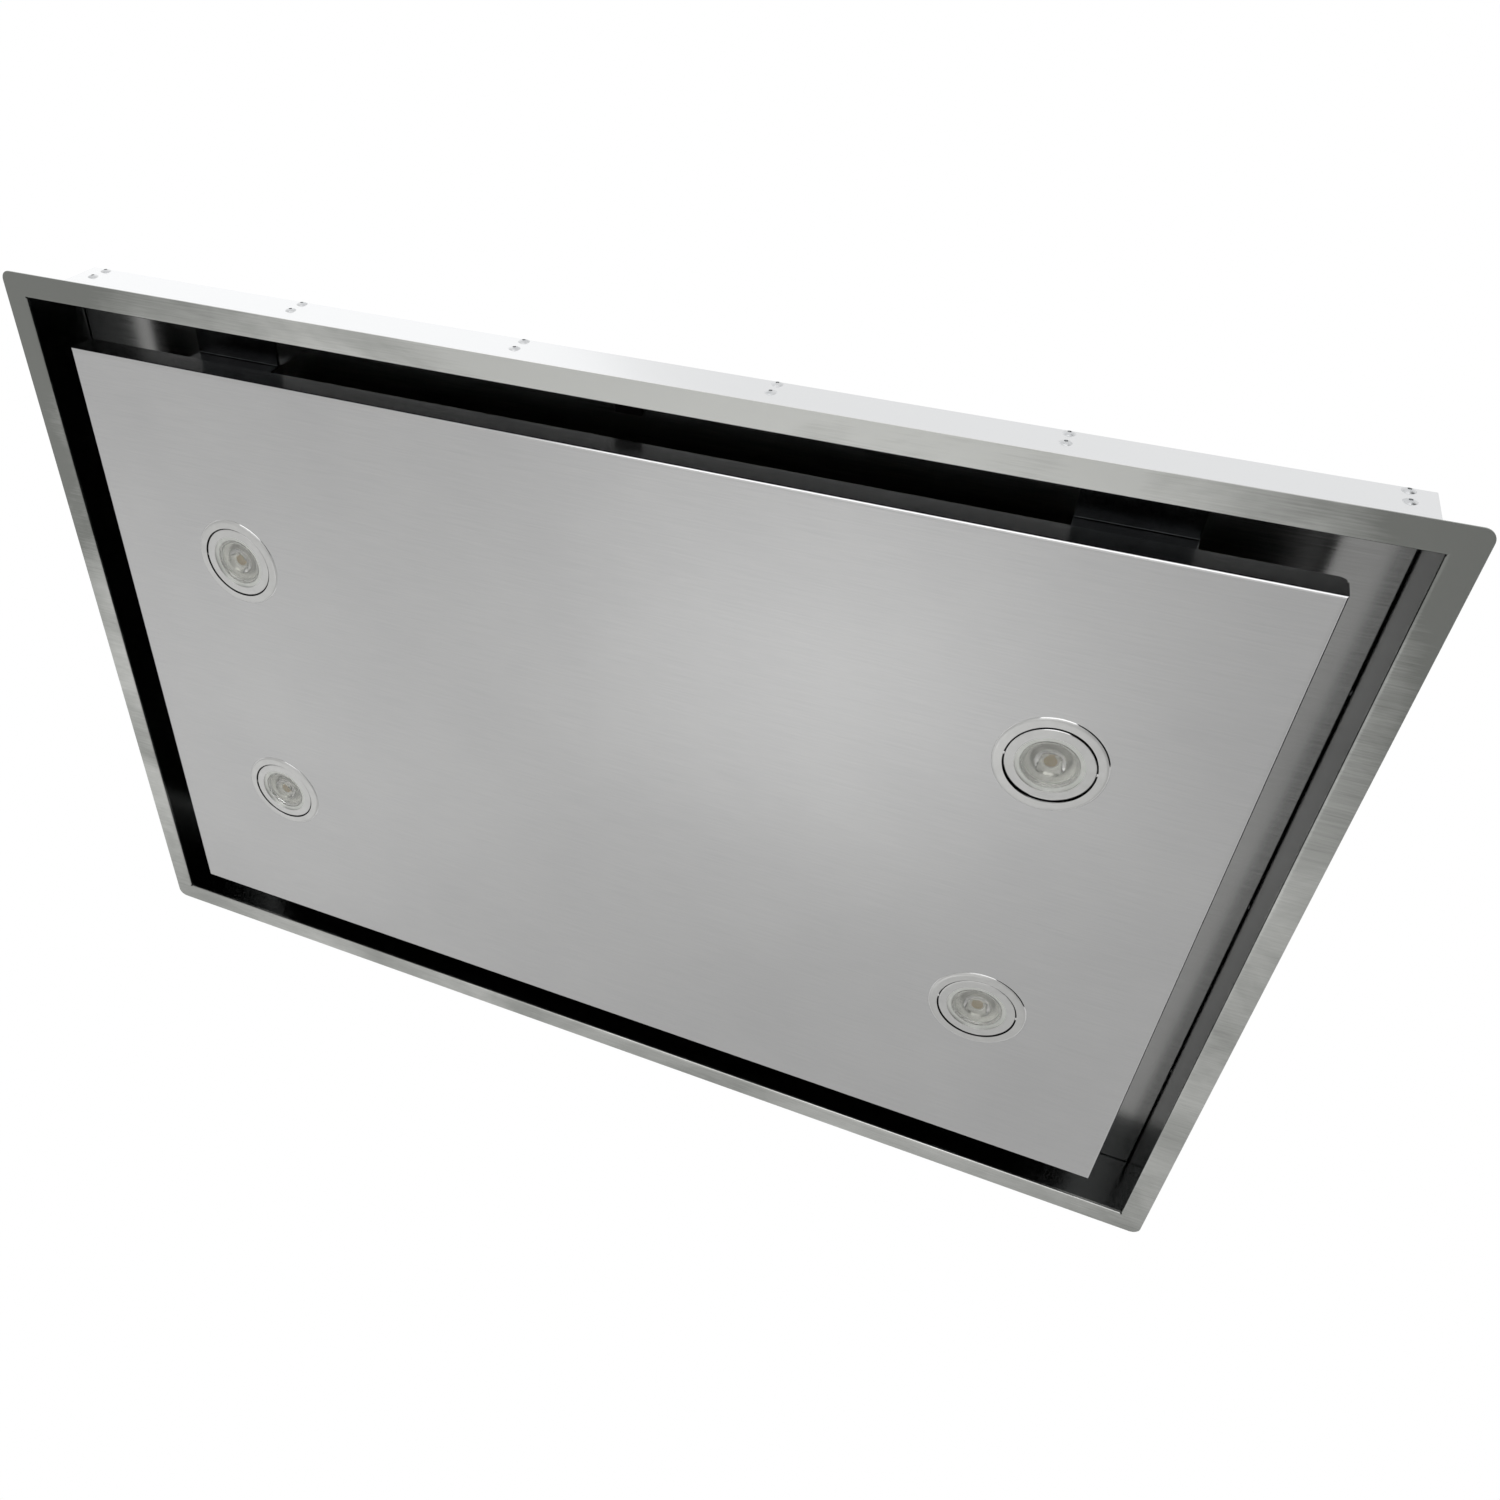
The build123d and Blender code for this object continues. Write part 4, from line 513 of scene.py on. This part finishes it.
class HoodFilterSettings(bpy.types.PropertyGroup):
    long_pitch: FloatProperty(
        name="Long pitch", description="Mesh opening along the filter's short side",
        unit="LENGTH", min=0.006, max=0.04, default=13.5 * MM,
    )
    short_pitch: FloatProperty(
        name="Short pitch", description="Mesh opening along the filter's long side",
        unit="LENGTH", min=0.004, max=0.04, default=7.0 * MM,
    )
    strand_width: FloatProperty(
        name="Strand width", description="Width of a strand of the expanded mesh",
        unit="LENGTH", min=0.0003, max=0.003, default=1.0 * MM,
    )
    strand_thickness: FloatProperty(
        name="Strand thickness", description="Thickness of the expanded sheet",
        unit="LENGTH", min=0.0002, max=0.002, default=0.5 * MM,
    )
    layers: IntProperty(name="Layers", description="Layers of mesh in the pack", min=1, max=4, default=4)


class HoodSpringSettings(bpy.types.PropertyGroup):
    wire: FloatProperty(
        name="Spring wire", description="Diameter of the catch spring's wire",
        unit="LENGTH", min=0.0002, max=0.001, default=0.6 * MM,
    )
    turns: IntProperty(name="Turns", description="Turns of each catch spring", min=4, max=30, default=11)


class HoodStudioSettings(bpy.types.PropertyGroup):
    floor_drop: FloatProperty(
        name="Floor below ceiling", description="Height of the ceiling over the studio's floor",
        unit="LENGTH", min=1.0, max=4.0, default=1.6,
    )
    floor_colour: FloatVectorProperty(
        name="Floor", description="Colour of the studio's floor",
        subtype="COLOR", size=3, min=0.0, max=1.0, default=linear("#DDDDDB"),
    )
    sky_level: FloatProperty(
        name="Ambient level", description="Brightness of the even light from all round",
        min=0.0, max=2.0, default=0.72,
    )
    key_power: FloatProperty(
        name="Key light", description="Power of the large soft light above the front edge",
        unit="POWER", min=0.0, max=500.0, default=4.4,
    )
    front_power: FloatProperty(
        name="Front light", description="Power of the low soft light in front that edges the folds",
        unit="POWER", min=0.0, max=500.0, default=10.4,
    )
    near_floor_power: FloatProperty(
        name="Near floor light", description="Power of the light on the floor below, which the panel mirrors",
        unit="POWER", min=0.0, max=500.0, default=2.6,
    )
    far_floor_power: FloatProperty(
        name="Far floor light", description="Power of the light on the floor behind, which the panel mirrors",
        unit="POWER", min=0.0, max=500.0, default=3.5,
    )
    front_floor_power: FloatProperty(
        name="Front floor light", description="Power of the light on the floor in front, for the folds",
        unit="POWER", min=0.0, max=500.0, default=5.0,
    )
    flag_distance: FloatProperty(
        name="Flag distance", description="How far off the flag that gives bright metal its dark edges is",
        unit="LENGTH", min=1.5, max=6.0, default=2.2,
    )


SETTINGS = {
    "hood_metal": HoodMetalSettings,
    "hood_lamps": HoodLampSettings,
    "hood_filters": HoodFilterSettings,
    "hood_springs": HoodSpringSettings,
    "hood_studio": HoodStudioSettings,
}


# ---------------------------------------------------------------- places taken from the frame
def lamp_place(corner):
    """Where a lamp's pivot is, turned as the lamp is left at rest. Its limits lie evenly about level."""
    joint = next(j for j in frame["joints"] if j["name"] == f"lamp_tilt_{corner}")
    rest = -math.radians(sum(joint["range_deg"]) / 2)
    return Matrix.Translation(Vector(joint["pos_m"])) @ Matrix.Rotation(rest, 4, Vector(joint["axis"]))


# ---------------------------------------------------------------- operators
class HOOD_OT_finish_metal(bpy.types.Operator):
    """Gives the frame, tray, panel, fastenings and moving metal parts their finishes"""

    bl_idname = "hood.finish_metal"
    bl_label = "Finish sheet metal"

    def execute(self, context):
        metal = context.scene.hood_metal
        grain = metal.grain_width
        steel = {
            "frame_steel": flange_steel_painted_light_and_shade(
                "Brushed stainless, flange with painted light and shade", metal.flange_light, metal.flange_dark,
                metal.wall_colour, metal.inside_shade_colour, 0.22, 0.18, grain,
            ),
            "panel_steel": brushed_steel(
                "Brushed stainless, panel", metal.panel_light, metal.panel_dark, 0.17, grain
            ),
            "tray_steel": brushed_steel(
                "Bright rolled stainless, tray", linear("#B4B4B4"), linear("#9A9A9A"), 0.2, grain, 0.02
            ),
        }
        plated = {
            "rivet_aluminium": ("Drawn aluminium, rivet", "#D6D7D8", "#BFC1C3", 0.28, 4 * MM),
            "zinc_screws": ("Zinc plate, clear passivated", "#C9CDD2", "#A9B0B8", 0.3, 3 * MM),
            "bracket_steel": ("Zinc-plated steel, bracket", "#C6C8C9", "#ADB0B3", 0.3, 15 * MM),
            # Painted shade: the carrier is given a near-black colour, standing in for the shade of the dark well.
            "carrier_steel": ("Steel, carrier, painted dark for shade", "#5E6062", "#4A4C4E", 0.22, 15 * MM),
            "leaf_steel": ("Zinc-plated steel, hinge leaf", "#CBCDD0", "#B4B8BC", 0.32, 12 * MM),
            "pin_steel": ("Ground steel, pin", "#C8C8C8", "#B0B0B0", 0.2, 3 * MM),
            "shaft_steel": ("Ground steel, shaft", "#C2C2C2", "#A6A6A6", 0.18, 5 * MM),
            "bolt_steel": ("Nickel-plated steel, catch bolt", "#CFCBC2", "#BDB8AE", 0.2, 3 * MM),
            "spring_steel": ("Spring steel, oiled", "#9D9B97", "#787671", 0.28, 2 * MM),
            "clip_steel": ("Spring steel, lamp clip", "#A9A8A5", "#8B8A87", 0.3, 5 * MM),
            "handle_steel": ("Chromium plate, handle", "#D9DBDD", "#CDD0D3", 0.1, 10 * MM),
            "collar_steel": ("Zinc-plated steel, collar", "#BFC2C5", "#A5A9AE", 0.36, 18 * MM),
            "damper_aluminium": ("Mill-finish aluminium, damper", "#D5D6D7", "#C2C4C6", 0.34, 14 * MM),
            "capacitor_can": ("Drawn aluminium, can", "#CDCED0", "#B7B9BC", 0.32, 9 * MM),
            "filter_frame_aluminium": ("Anodised aluminium, filter", "#CFD0D1", "#BFC0C2", 0.36, 12 * MM),
            "filter_mesh_aluminium": ("Expanded aluminium", "#D4D5D6", "#BDBFC1", 0.3, 6 * MM),
            "module_aluminium": ("Satin aluminium, lamp module", "#E4E5E2", "#DBDDD9", 0.34, 6 * MM),
        }
        finish = dict(steel)
        for slot, (name, light, dark, roughness, blotch) in plated.items():
            finish[slot] = plated_metal(name, linear(light), linear(dark), roughness, blotch)
        for slot, name, light, dark, scale in (
            ("housing_galvanised", "Galvanised sheet, housing", "#C9CDCF", "#9EA4A8", 1.0),
            ("blower_galvanised", "Galvanised sheet, blower", "#C3C8CB", "#989FA4", 0.8),
            ("stiffener_galvanised", "Galvanised sheet, stiffener", "#C6CACC", "#A0A6AA", 0.8),
            ("impeller_steel", "Galvanised sheet, impeller", "#B9BEC1", "#8F969B", 0.5),
        ):
            finish[slot] = spangled_zinc(name, linear(light), linear(dark), 0.34, metal.spangle * scale)
        finish["motor_casting"] = cast_metal(
            "Die-cast aluminium, motor", linear("#B4B6B7"), linear("#98999B"), 0.5, 1.2 * MM
        )
        dress(finish)
        return {"FINISHED"}


class HOOD_OT_finish_lamp_rings(bpy.types.Operator):
    """Gives the lamps' bezels and tilting rings their satin nickel"""

    bl_idname = "hood.finish_lamp_rings"
    bl_label = "Finish lamp rings"

    def execute(self, context):
        light, dark, blotch = linear("#E0E0E0"), linear("#D8D8D8"), 9 * MM
        dress({
            "bezel_nickel": plated_metal("Satin nickel, bezel", light, dark, 0.09, blotch, 0.01),
            "gimbal_nickel": plated_metal("Satin nickel, tilting ring", light, dark, 0.1, blotch, 0.01),
        })
        return {"FINISHED"}


class HOOD_OT_finish_electrics(bpy.types.Operator):
    """Gives the plastic, rubber and circuit-board parts their finishes"""

    bl_idname = "hood.finish_electrics"
    bl_label = "Finish plastics and electrics"

    def execute(self, context):
        plastics = {
            "mount_rubber": ("Natural rubber, mount", "#2B2B2B", "#1E1E1E", 0.62, 1.2 * MM, 0.2),
            "control_plastic": ("ABS, control box", "#B9BBBC", "#AFB1B2", 0.48, 1.0 * MM, 0.0),
            "lid_plastic": ("ABS, control box lid", "#C6C8C8", "#BDBFBF", 0.45, 1.0 * MM, 0.0),
            "gland_nylon": ("Nylon, cable gland", "#4A4C4E", "#3E4042", 0.42, 0.8 * MM, 0.0),
            "driver_case": ("Polycarbonate, driver case", "#E4E4E0", "#D9D9D4", 0.4, 1.0 * MM, 0.0),
            "receiver_plastic": ("Infrared-clear acrylic, receiver", "#1A1618", "#100E10", 0.12, 6 * MM, 0.0),
            "catch_nylon": ("Acetal, catch housing", "#E2E1DA", "#D6D5CD", 0.38, 1.0 * MM, 0.0),
        }
        finish = {
            slot: moulded_plastic(name, linear(light), linear(dark), roughness, grain, sheen)
            for slot, (name, light, dark, roughness, grain, sheen) in plastics.items()
        }
        finish["circuit_board"] = glass_epoxy_board(
            "Glass epoxy, circuit board", linear("#1F5A3A"), linear("#3C8256"), 2.6 * MM
        )
        dress(finish)
        return {"FINISHED"}


def dress(finish):
    """Puts each finish on the CAD nodes of its material slot."""
    for part in frame["record"]["subparts"]:
        if part["material_slot"] in finish:
            mesh = frame["nodes"][part["node"]].data
            mesh.materials.clear()
            mesh.materials.append(finish[part["material_slot"]])


class HOOD_OT_build_lenses(bpy.types.Operator):
    """Builds the four moulded lenses, each with its raised middle, ribbed ring and light cone"""

    bl_idname = "hood.build_lenses"
    bl_label = "Build lenses"

    def execute(self, context):
        lamps = context.scene.hood_lamps
        acrylic = optical_acrylic("Clear acrylic, lens", lamps.lens_tint, 7 * MM)
        low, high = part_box("lamp_lens_front_left")
        pivot = lamp_place("front_left").translation
        edge, thickness = (high.x - low.x) / 2 / MM, (high.z - low.z) / MM
        outline = (
            # radius, height above the front face, rib: the raised middle and its rounded shoulder
            (0, 0.10), (4.5, 0.02), (8.2, 0.06), (9.3, 0.25), (9.9, 0.65), (10.3, 1.15),
            # ribbed ring, then the shallow bowl
            (10.9, 1.45, 0.10), (12.0, 1.55, 0.22), (13.3, 1.60, 0.16), (15.0, 1.55), (17.6, 1.25),
            # bead along the edge, beside the module's rim
            (18.8, 0.85), (19.3, 0.40), (19.7, 0.22), (20.0, 0.25), (edge, 0.50), (edge, thickness),
            # back of the plate, then the plug, which ends flat before the emitter
            (18.2, 3.70), (16.0, 3.45), (13.2, 3.35), (11.0, 3.60), (9.6, 4.60), (8.4, 6.00),
            (7.2, 7.00), (6.6, 7.35), (6.0, 7.45), (0, 7.45),
        )
        turned = in_metres(outline, low.z - pivot.z)
        for corner in LAMP_CORNERS:
            lens = turned_piece(
                f"lens_{corner}", turned, 4 * lamps.rib_count, acrylic, lamp_place(corner), lamps.rib_count
            )
            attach(lens, f"lamp_{corner}")
            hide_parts(f"lamp_lens_{corner}")
        return {"FINISHED"}


class HOOD_OT_build_emitters(bpy.types.Operator):
    """Builds the four light emitters behind the lenses: ceramic board, phosphor disc and bright cup"""

    bl_idname = "hood.build_emitters"
    bl_label = "Build emitters"

    def execute(self, context):
        lamps = context.scene.hood_lamps
        phosphor_light = lamps.phosphor_colour
        phosphor_dark = tuple(0.8 * channel for channel in phosphor_light)
        phosphor = phosphor_gel("Phosphor gel, emitter", phosphor_light, phosphor_dark, 0.8 * MM)
        ceramic = moulded_plastic(
            "Alumina ceramic, emitter board", linear("#E9E7DF"), linear("#DEDBD1"), 0.35, 0.5 * MM
        )
        cup = plated_metal(
            "Vacuum-coated aluminium, lamp cup", linear("#DFE0DB"), linear("#D3D4CE"), 0.08, 5 * MM
        )
        radius = lamps.emitter_radius / MM
        # radius and height over the pivot: the board, with a low dam round the gel
        board = in_metres((
            (0, 5.30), (radius, 5.30), (radius + 0.1, 5.10), (radius + 0.6, 5.10), (radius + 0.75, 5.30),
            (5.9, 5.30), (5.9, 5.55), (0, 5.55),
        ))
        # the gel, slightly raised in the middle
        gel = in_metres((
            (0, 5.11), (radius * 0.6, 5.12), (radius - 0.05, 5.18), (radius - 0.05, 5.29), (0, 5.29),
        ))
        # the cup's inside, from its rim down to the board, and its outside
        cup_sheet = 0.15
        inside = ((18.0, 1.45), (14.8, 2.9), (11.6, 4.45), (9.6, 5.3), (5.8, 5.4))
        outside = [(r + cup_sheet, height + cup_sheet) for r, height in reversed(inside)]
        wall = in_metres((*inside, *outside, inside[0]))
        for corner in LAMP_CORNERS:
            place = lamp_place(corner)
            pieces = (
                turned_piece(f"emitter_board_{corner}", board, 36, ceramic, place),
                turned_piece(f"phosphor_{corner}", gel, 36, phosphor, place),
                turned_piece(f"lamp_cup_{corner}", wall, 24, cup, place, smooth_angle=10.0),
            )
            for piece in pieces:
                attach(piece, f"lamp_{corner}")
        return {"FINISHED"}


def expanded_mesh_tree(sizes):
    """Diamonds of expanded sheet on a grid, in layers that are shifted from each other."""
    tree, size = geometry_tree("Expanded mesh pack", sizes)
    diamond = add_node(
        tree, "GeometryNodeCurvePrimitiveQuadrilateral",
        {"Width": size["Long pitch"], "Bottom Height": size["Half pitch"], "Top Height": size["Half pitch"]},
        mode="KITE",
    )
    strand = add_node(
        tree, "GeometryNodeCurvePrimitiveQuadrilateral",
        {"Width": size["Strand width"], "Height": size["Strand thickness"]},
        mode="RECTANGLE",
    )
    ring = add_node(
        tree, "GeometryNodeCurveToMesh", {"Curve": diamond.outputs[0], "Profile Curve": strand.outputs[0]}
    )
    grid = add_node(
        tree, "GeometryNodeMeshGrid",
        {"Size X": size["Length"], "Size Y": size["Width"], "Vertices X": size["Columns"],
         "Vertices Y": size["Rows"]},
    )
    sheet = add_node(
        tree, "GeometryNodeInstanceOnPoints", {"Points": grid.outputs["Mesh"], "Instance": ring.outputs[0]}
    )
    stack = add_node(
        tree, "GeometryNodeMeshLine", {"Count": size["Layers"], "Offset": size["Layer step"]}, mode="OFFSET"
    )
    pack = add_node(
        tree, "GeometryNodeInstanceOnPoints", {"Points": stack.outputs["Mesh"], "Instance": sheet.outputs[0]}
    )
    end_tree(tree, pack.outputs[0], size["Material"])
    return tree


class HOOD_OT_build_filter_mesh(bpy.types.Operator):
    """Builds the layers of expanded aluminium mesh in both grease filters"""

    bl_idname = "hood.build_filter_mesh"
    bl_label = "Build filter mesh"

    def execute(self, context):
        mesh = context.scene.hood_filters
        low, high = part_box("filter_mesh_left")
        margin = 0.6 * MM  # room for half a strand below the lowest layer and above the highest
        step = (high.z - low.z - 2 * margin) / max(mesh.layers - 1, 1)
        # Each layer is shifted by an odd share of a mesh, so that no two lie in line.
        shift = Vector((mesh.long_pitch * 0.23, mesh.short_pitch * 0.27, step))
        drift = (mesh.layers - 1) * shift
        columns = int((high.x - low.x - drift.x) / mesh.long_pitch)
        rows = int((high.y - low.y - drift.y) / mesh.short_pitch)
        sizes = {
            "Long pitch": mesh.long_pitch, "Half pitch": mesh.short_pitch / 2,
            "Strand width": mesh.strand_width, "Strand thickness": mesh.strand_thickness,
            "Length": (columns - 1) * mesh.long_pitch, "Width": (rows - 1) * mesh.short_pitch,
            "Columns": columns, "Rows": rows, "Layers": mesh.layers, "Layer step": tuple(shift),
            "Material": frame["nodes"]["filter_mesh_left"].data.materials[0],
        }
        tree = expanded_mesh_tree(sizes)
        for side in SIDES:
            low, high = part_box(f"filter_mesh_{side}")
            middle = (low + high - drift) / 2
            lowest = Matrix.Translation((middle.x, middle.y, low.z + margin))
            pack = grown_piece(f"mesh_pack_{side}", tree, sizes, lowest)
            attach(pack, f"filter_{side}")
            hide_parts(f"filter_mesh_{side}")
        return {"FINISHED"}


class HOOD_OT_build_catch_springs(bpy.types.Operator):
    """Winds the two compression springs behind the catch bolts"""

    bl_idname = "hood.build_catch_springs"
    bl_label = "Wind catch springs"

    def execute(self, context):
        spring = context.scene.hood_springs
        low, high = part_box("catch_springs")
        middle = (low + high) / 2
        outer = (high.z - low.z) / 2
        sizes = {
            "Turns": float(spring.turns), "Radius": outer - spring.wire / 2,
            "Height": high.y - low.y - spring.wire, "Wire": spring.wire / 2,
            "Start": (low.x + outer, low.y + spring.wire / 2, middle.z),
            "Spacing": (high.x - low.x - 2 * outer, 0.0, 0.0),
            "Material": frame["nodes"]["catch_springs"].data.materials[0],
        }
        tree, size = geometry_tree("Wound spring", sizes)
        coil = add_node(
            tree, "GeometryNodeCurveSpiral",
            {"Resolution": 16, "Rotations": size["Turns"], "Start Radius": size["Radius"],
             "End Radius": size["Radius"], "Height": size["Height"]},
        )
        wire = add_node(tree, "GeometryNodeCurvePrimitiveCircle", {"Resolution": 8, "Radius": size["Wire"]})
        wound = add_node(
            tree, "GeometryNodeCurveToMesh",
            {"Curve": coil.outputs[0], "Profile Curve": wire.outputs[0], "Fill Caps": True},
        )
        places = add_node(
            tree, "GeometryNodeMeshLine",
            {"Count": 2, "Start Location": size["Start"], "Offset": size["Spacing"]}, mode="OFFSET",
        )
        along_y = Euler((-math.pi / 2, 0, 0))
        pair = add_node(
            tree, "GeometryNodeInstanceOnPoints",
            {"Points": places.outputs[0], "Instance": wound.outputs[0], "Rotation": along_y},
        )
        end_tree(tree, pair.outputs[0], size["Material"])
        springs = grown_piece("wound_springs", tree, sizes)
        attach(springs, "hood")
        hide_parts("catch_springs")
        return {"FINISHED"}


class HOOD_OT_build_spot_welds(bpy.types.Operator):
    """Adds the rows of spot welds that hold the stiffeners to the panel"""

    bl_idname = "hood.build_spot_welds"
    bl_label = "Add spot welds"

    def execute(self, context):
        low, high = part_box("panel_stiffeners")
        foot, sheet = 9.0 * MM, 0.8 * MM  # a stiffener's foot and its sheet
        count, end_margin = 12, 25 * MM  # welds in a row, and a row's distance from the stiffener's end
        lift = 0.1 * MM  # of a weld's middle over the sheet
        reach = high.x - end_margin
        burnt = spangled_zinc("Spot weld, burnt zinc", linear("#8E9194"), linear("#63666A"), 0.5, 2 * MM)
        sizes = {
            "Count": count, "Radius": 2.4 * MM, "Depth": 0.24 * MM,
            "Start": (-reach, 0.0, low.z + sheet + lift),
            "Step": (2 * reach / (count - 1), 0.0, 0.0), "Material": burnt,
        }
        tree, size = geometry_tree("Spot welds", sizes)
        dimple = add_node(
            tree, "GeometryNodeMeshCone",
            {"Vertices": 12, "Side Segments": 2, "Radius Top": 1.5 * MM, "Radius Bottom": size["Radius"],
             "Depth": size["Depth"]},
        )
        row = add_node(
            tree, "GeometryNodeMeshLine",
            {"Count": size["Count"], "Start Location": size["Start"], "Offset": size["Step"]}, mode="OFFSET",
        )
        welds = add_node(
            tree, "GeometryNodeInstanceOnPoints", {"Points": row.outputs[0], "Instance": dimple.outputs[0]}
        )
        feet = add_node(
            tree, "GeometryNodeMeshLine",
            {"Count": 2, "Start Location": (0, low.y + foot / 2, 0), "Offset": (0, high.y - low.y - foot, 0)},
            mode="OFFSET",
        )
        rows = add_node(
            tree, "GeometryNodeInstanceOnPoints", {"Points": feet.outputs[0], "Instance": welds.outputs[0]}
        )
        end_tree(tree, rows.outputs[0], size["Material"])
        piece = grown_piece("stiffener_spot_welds", tree, sizes)
        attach(piece, "panel")
        return {"FINISHED"}


class HOOD_OT_build_studio(bpy.types.Operator):
    """Sets up the camera of the photograph, the pale floor and the soft light"""

    bl_idname = "hood.build_studio"
    bl_label = "Build studio"

    def execute(self, context):
        scene = context.scene
        studio = scene.hood_studio
        lens = bpy.data.cameras.new("Camera")
        lens.sensor_width, lens.lens = 36.0, 29.963
        lens.shift_x, lens.shift_y = 0.10348, 0.02567
        lens.clip_start, lens.clip_end = 0.02, 60.0
        camera = bpy.data.objects.new("Camera", lens)
        camera.location = (0.329547, -0.671172, -0.755563)
        camera.rotation_euler = (2.45106602, -0.4199224, -0.00375034)
        scene.collection.objects.link(camera)
        scene.camera = camera

        paint, tree = new_material("Matt emulsion paint, floor")
        roller = noise(tree, object_place(tree), 40.0, 3.0, 0.5)
        close_material(
            tree,
            {"Base Color": (*studio.floor_colour, 1.0), "Roughness": 0.9,
             "Normal": relief(tree, roller, 0.05, 1 * MM)},
        )
        reach, level = 14.0, -studio.floor_drop
        corners = [(x * reach, y * reach, level) for x, y in ((-1, -1), (1, -1), (1, 1), (-1, 1))]
        mesh_object("studio_floor", corners, [(0, 1, 2, 3)], paint)

        cloth, tree = new_material("Black velvet, flag")
        nap = noise(tree, object_place(tree), 200.0, 2.0, 0.5)
        black, dark_grey = (0.006,) * 3, (0.012,) * 3
        close_material(tree, {"Base Color": ramp(tree, nap, black, dark_grey, 0.3, 0.7), "Roughness": 1.0})
        towards, across = Vector((0.91, -0.42, 0.0)), Vector((0.42, 0.91, 0.0))
        half_width, foot, top = 1.75, -1.3, 0.9  # heights are over the ceiling plane
        edges = [
            towards * studio.flag_distance + across * side * half_width + Vector((0, 0, height))
            for side, height in ((-1, foot), (1, foot), (1, top), (-1, top))
        ]
        flag = mesh_object("studio_flag", edges, [(0, 1, 2, 3)], cloth)
        flag.visible_camera = flag.visible_shadow = False

        world = bpy.data.worlds.new("Even white surround")
        scene.world = world
        world.use_nodes = True
        tree = world.node_tree
        tree.nodes.clear()
        rays = add_node(tree, "ShaderNodeLightPath").outputs
        seen = calculated(tree, "MAXIMUM", rays["Is Camera Ray"], rays["Is Glossy Ray"])
        shown = calculated(tree, "MAXIMUM", seen, rays["Is Transmission Ray"])
        strength = remapped(tree, shown, studio.sky_level, 1.0)
        light = add_node(tree, "ShaderNodeBackground", {"Color": (1, 1, 1, 1), "Strength": strength})
        add_node(tree, "ShaderNodeOutputWorld", {"Surface": light.outputs[0]})

        middle = (cad_low + cad_high) / 2
        # The softboxes face the hood. The floor's lights face straight down and have no mirror image.
        for name, place, size, power, softbox in (
            ("Key softbox", (-2.2, -1.5, 2.4), (3.0, 2.0), studio.key_power, True),
            ("Front softbox", (0.15, -2.1, -0.6), (2.1, 1.6), studio.front_power, True),
            ("Near floor light", (-0.15, 0.9, -1.0), (0.9, 0.8), studio.near_floor_power, False),
            ("Far floor light", (-2.0, 1.6, -0.8), (1.8, 1.4), studio.far_floor_power, False),
            ("Front floor light", (0.0, -1.2, -0.9), (1.8, 0.6), studio.front_floor_power, False),
        ):
            lamp = bpy.data.lights.new(name, "AREA")
            lamp.shape, lamp.size, lamp.size_y, lamp.energy = "RECTANGLE", *size, power
            holder = bpy.data.objects.new(name, lamp)
            where = Vector(place)
            aim = middle - where if softbox else Vector((0, 0, -1))
            turn = aim.to_track_quat("-Z", "Y").to_matrix().to_4x4()
            holder.matrix_world = Matrix.Translation(where) @ turn
            holder.visible_camera = False
            holder.visible_glossy = softbox
            scene.collection.objects.link(holder)

        scene.view_settings.view_transform = "Standard"
        return {"FINISHED"}


OPERATORS = (
    HOOD_OT_finish_metal,
    HOOD_OT_finish_lamp_rings,
    HOOD_OT_finish_electrics,
    HOOD_OT_build_lenses,
    HOOD_OT_build_emitters,
    HOOD_OT_build_filter_mesh,
    HOOD_OT_build_catch_springs,
    HOOD_OT_build_spot_welds,
    HOOD_OT_build_studio,
)


class HOOD_PT_pieces(bpy.types.Panel):
    """Lists the steps that finish the hood and the settings they read"""

    bl_idname = "HOOD_PT_pieces"
    bl_label = "Range Hood"
    bl_space_type = "VIEW_3D"
    bl_region_type = "UI"
    bl_category = "Range Hood"

    def draw(self, context):
        for group in SETTINGS:
            box = self.layout.box()
            settings = getattr(context.scene, group)
            for size in settings.bl_rna.properties.keys():
                if size not in ("rna_type", "name"):
                    box.prop(settings, size)
        for operator in OPERATORS:
            self.layout.operator(operator.bl_idname)


def register():
    for group, settings in SETTINGS.items():
        bpy.utils.register_class(settings)
        setattr(bpy.types.Scene, group, PointerProperty(type=settings))
    for operator in OPERATORS:
        bpy.utils.register_class(operator)
    bpy.utils.register_class(HOOD_PT_pieces)


def unregister():
    bpy.utils.unregister_class(HOOD_PT_pieces)
    for operator in reversed(OPERATORS):
        bpy.utils.unregister_class(operator)
    for group, settings in reversed(SETTINGS.items()):
        delattr(bpy.types.Scene, group)
        bpy.utils.unregister_class(settings)


def main():
    register()
    for operator in OPERATORS:
        family, action = operator.bl_idname.split(".")
        getattr(getattr(bpy.ops, family), action)()


if __name__ == "__main__":
    main()
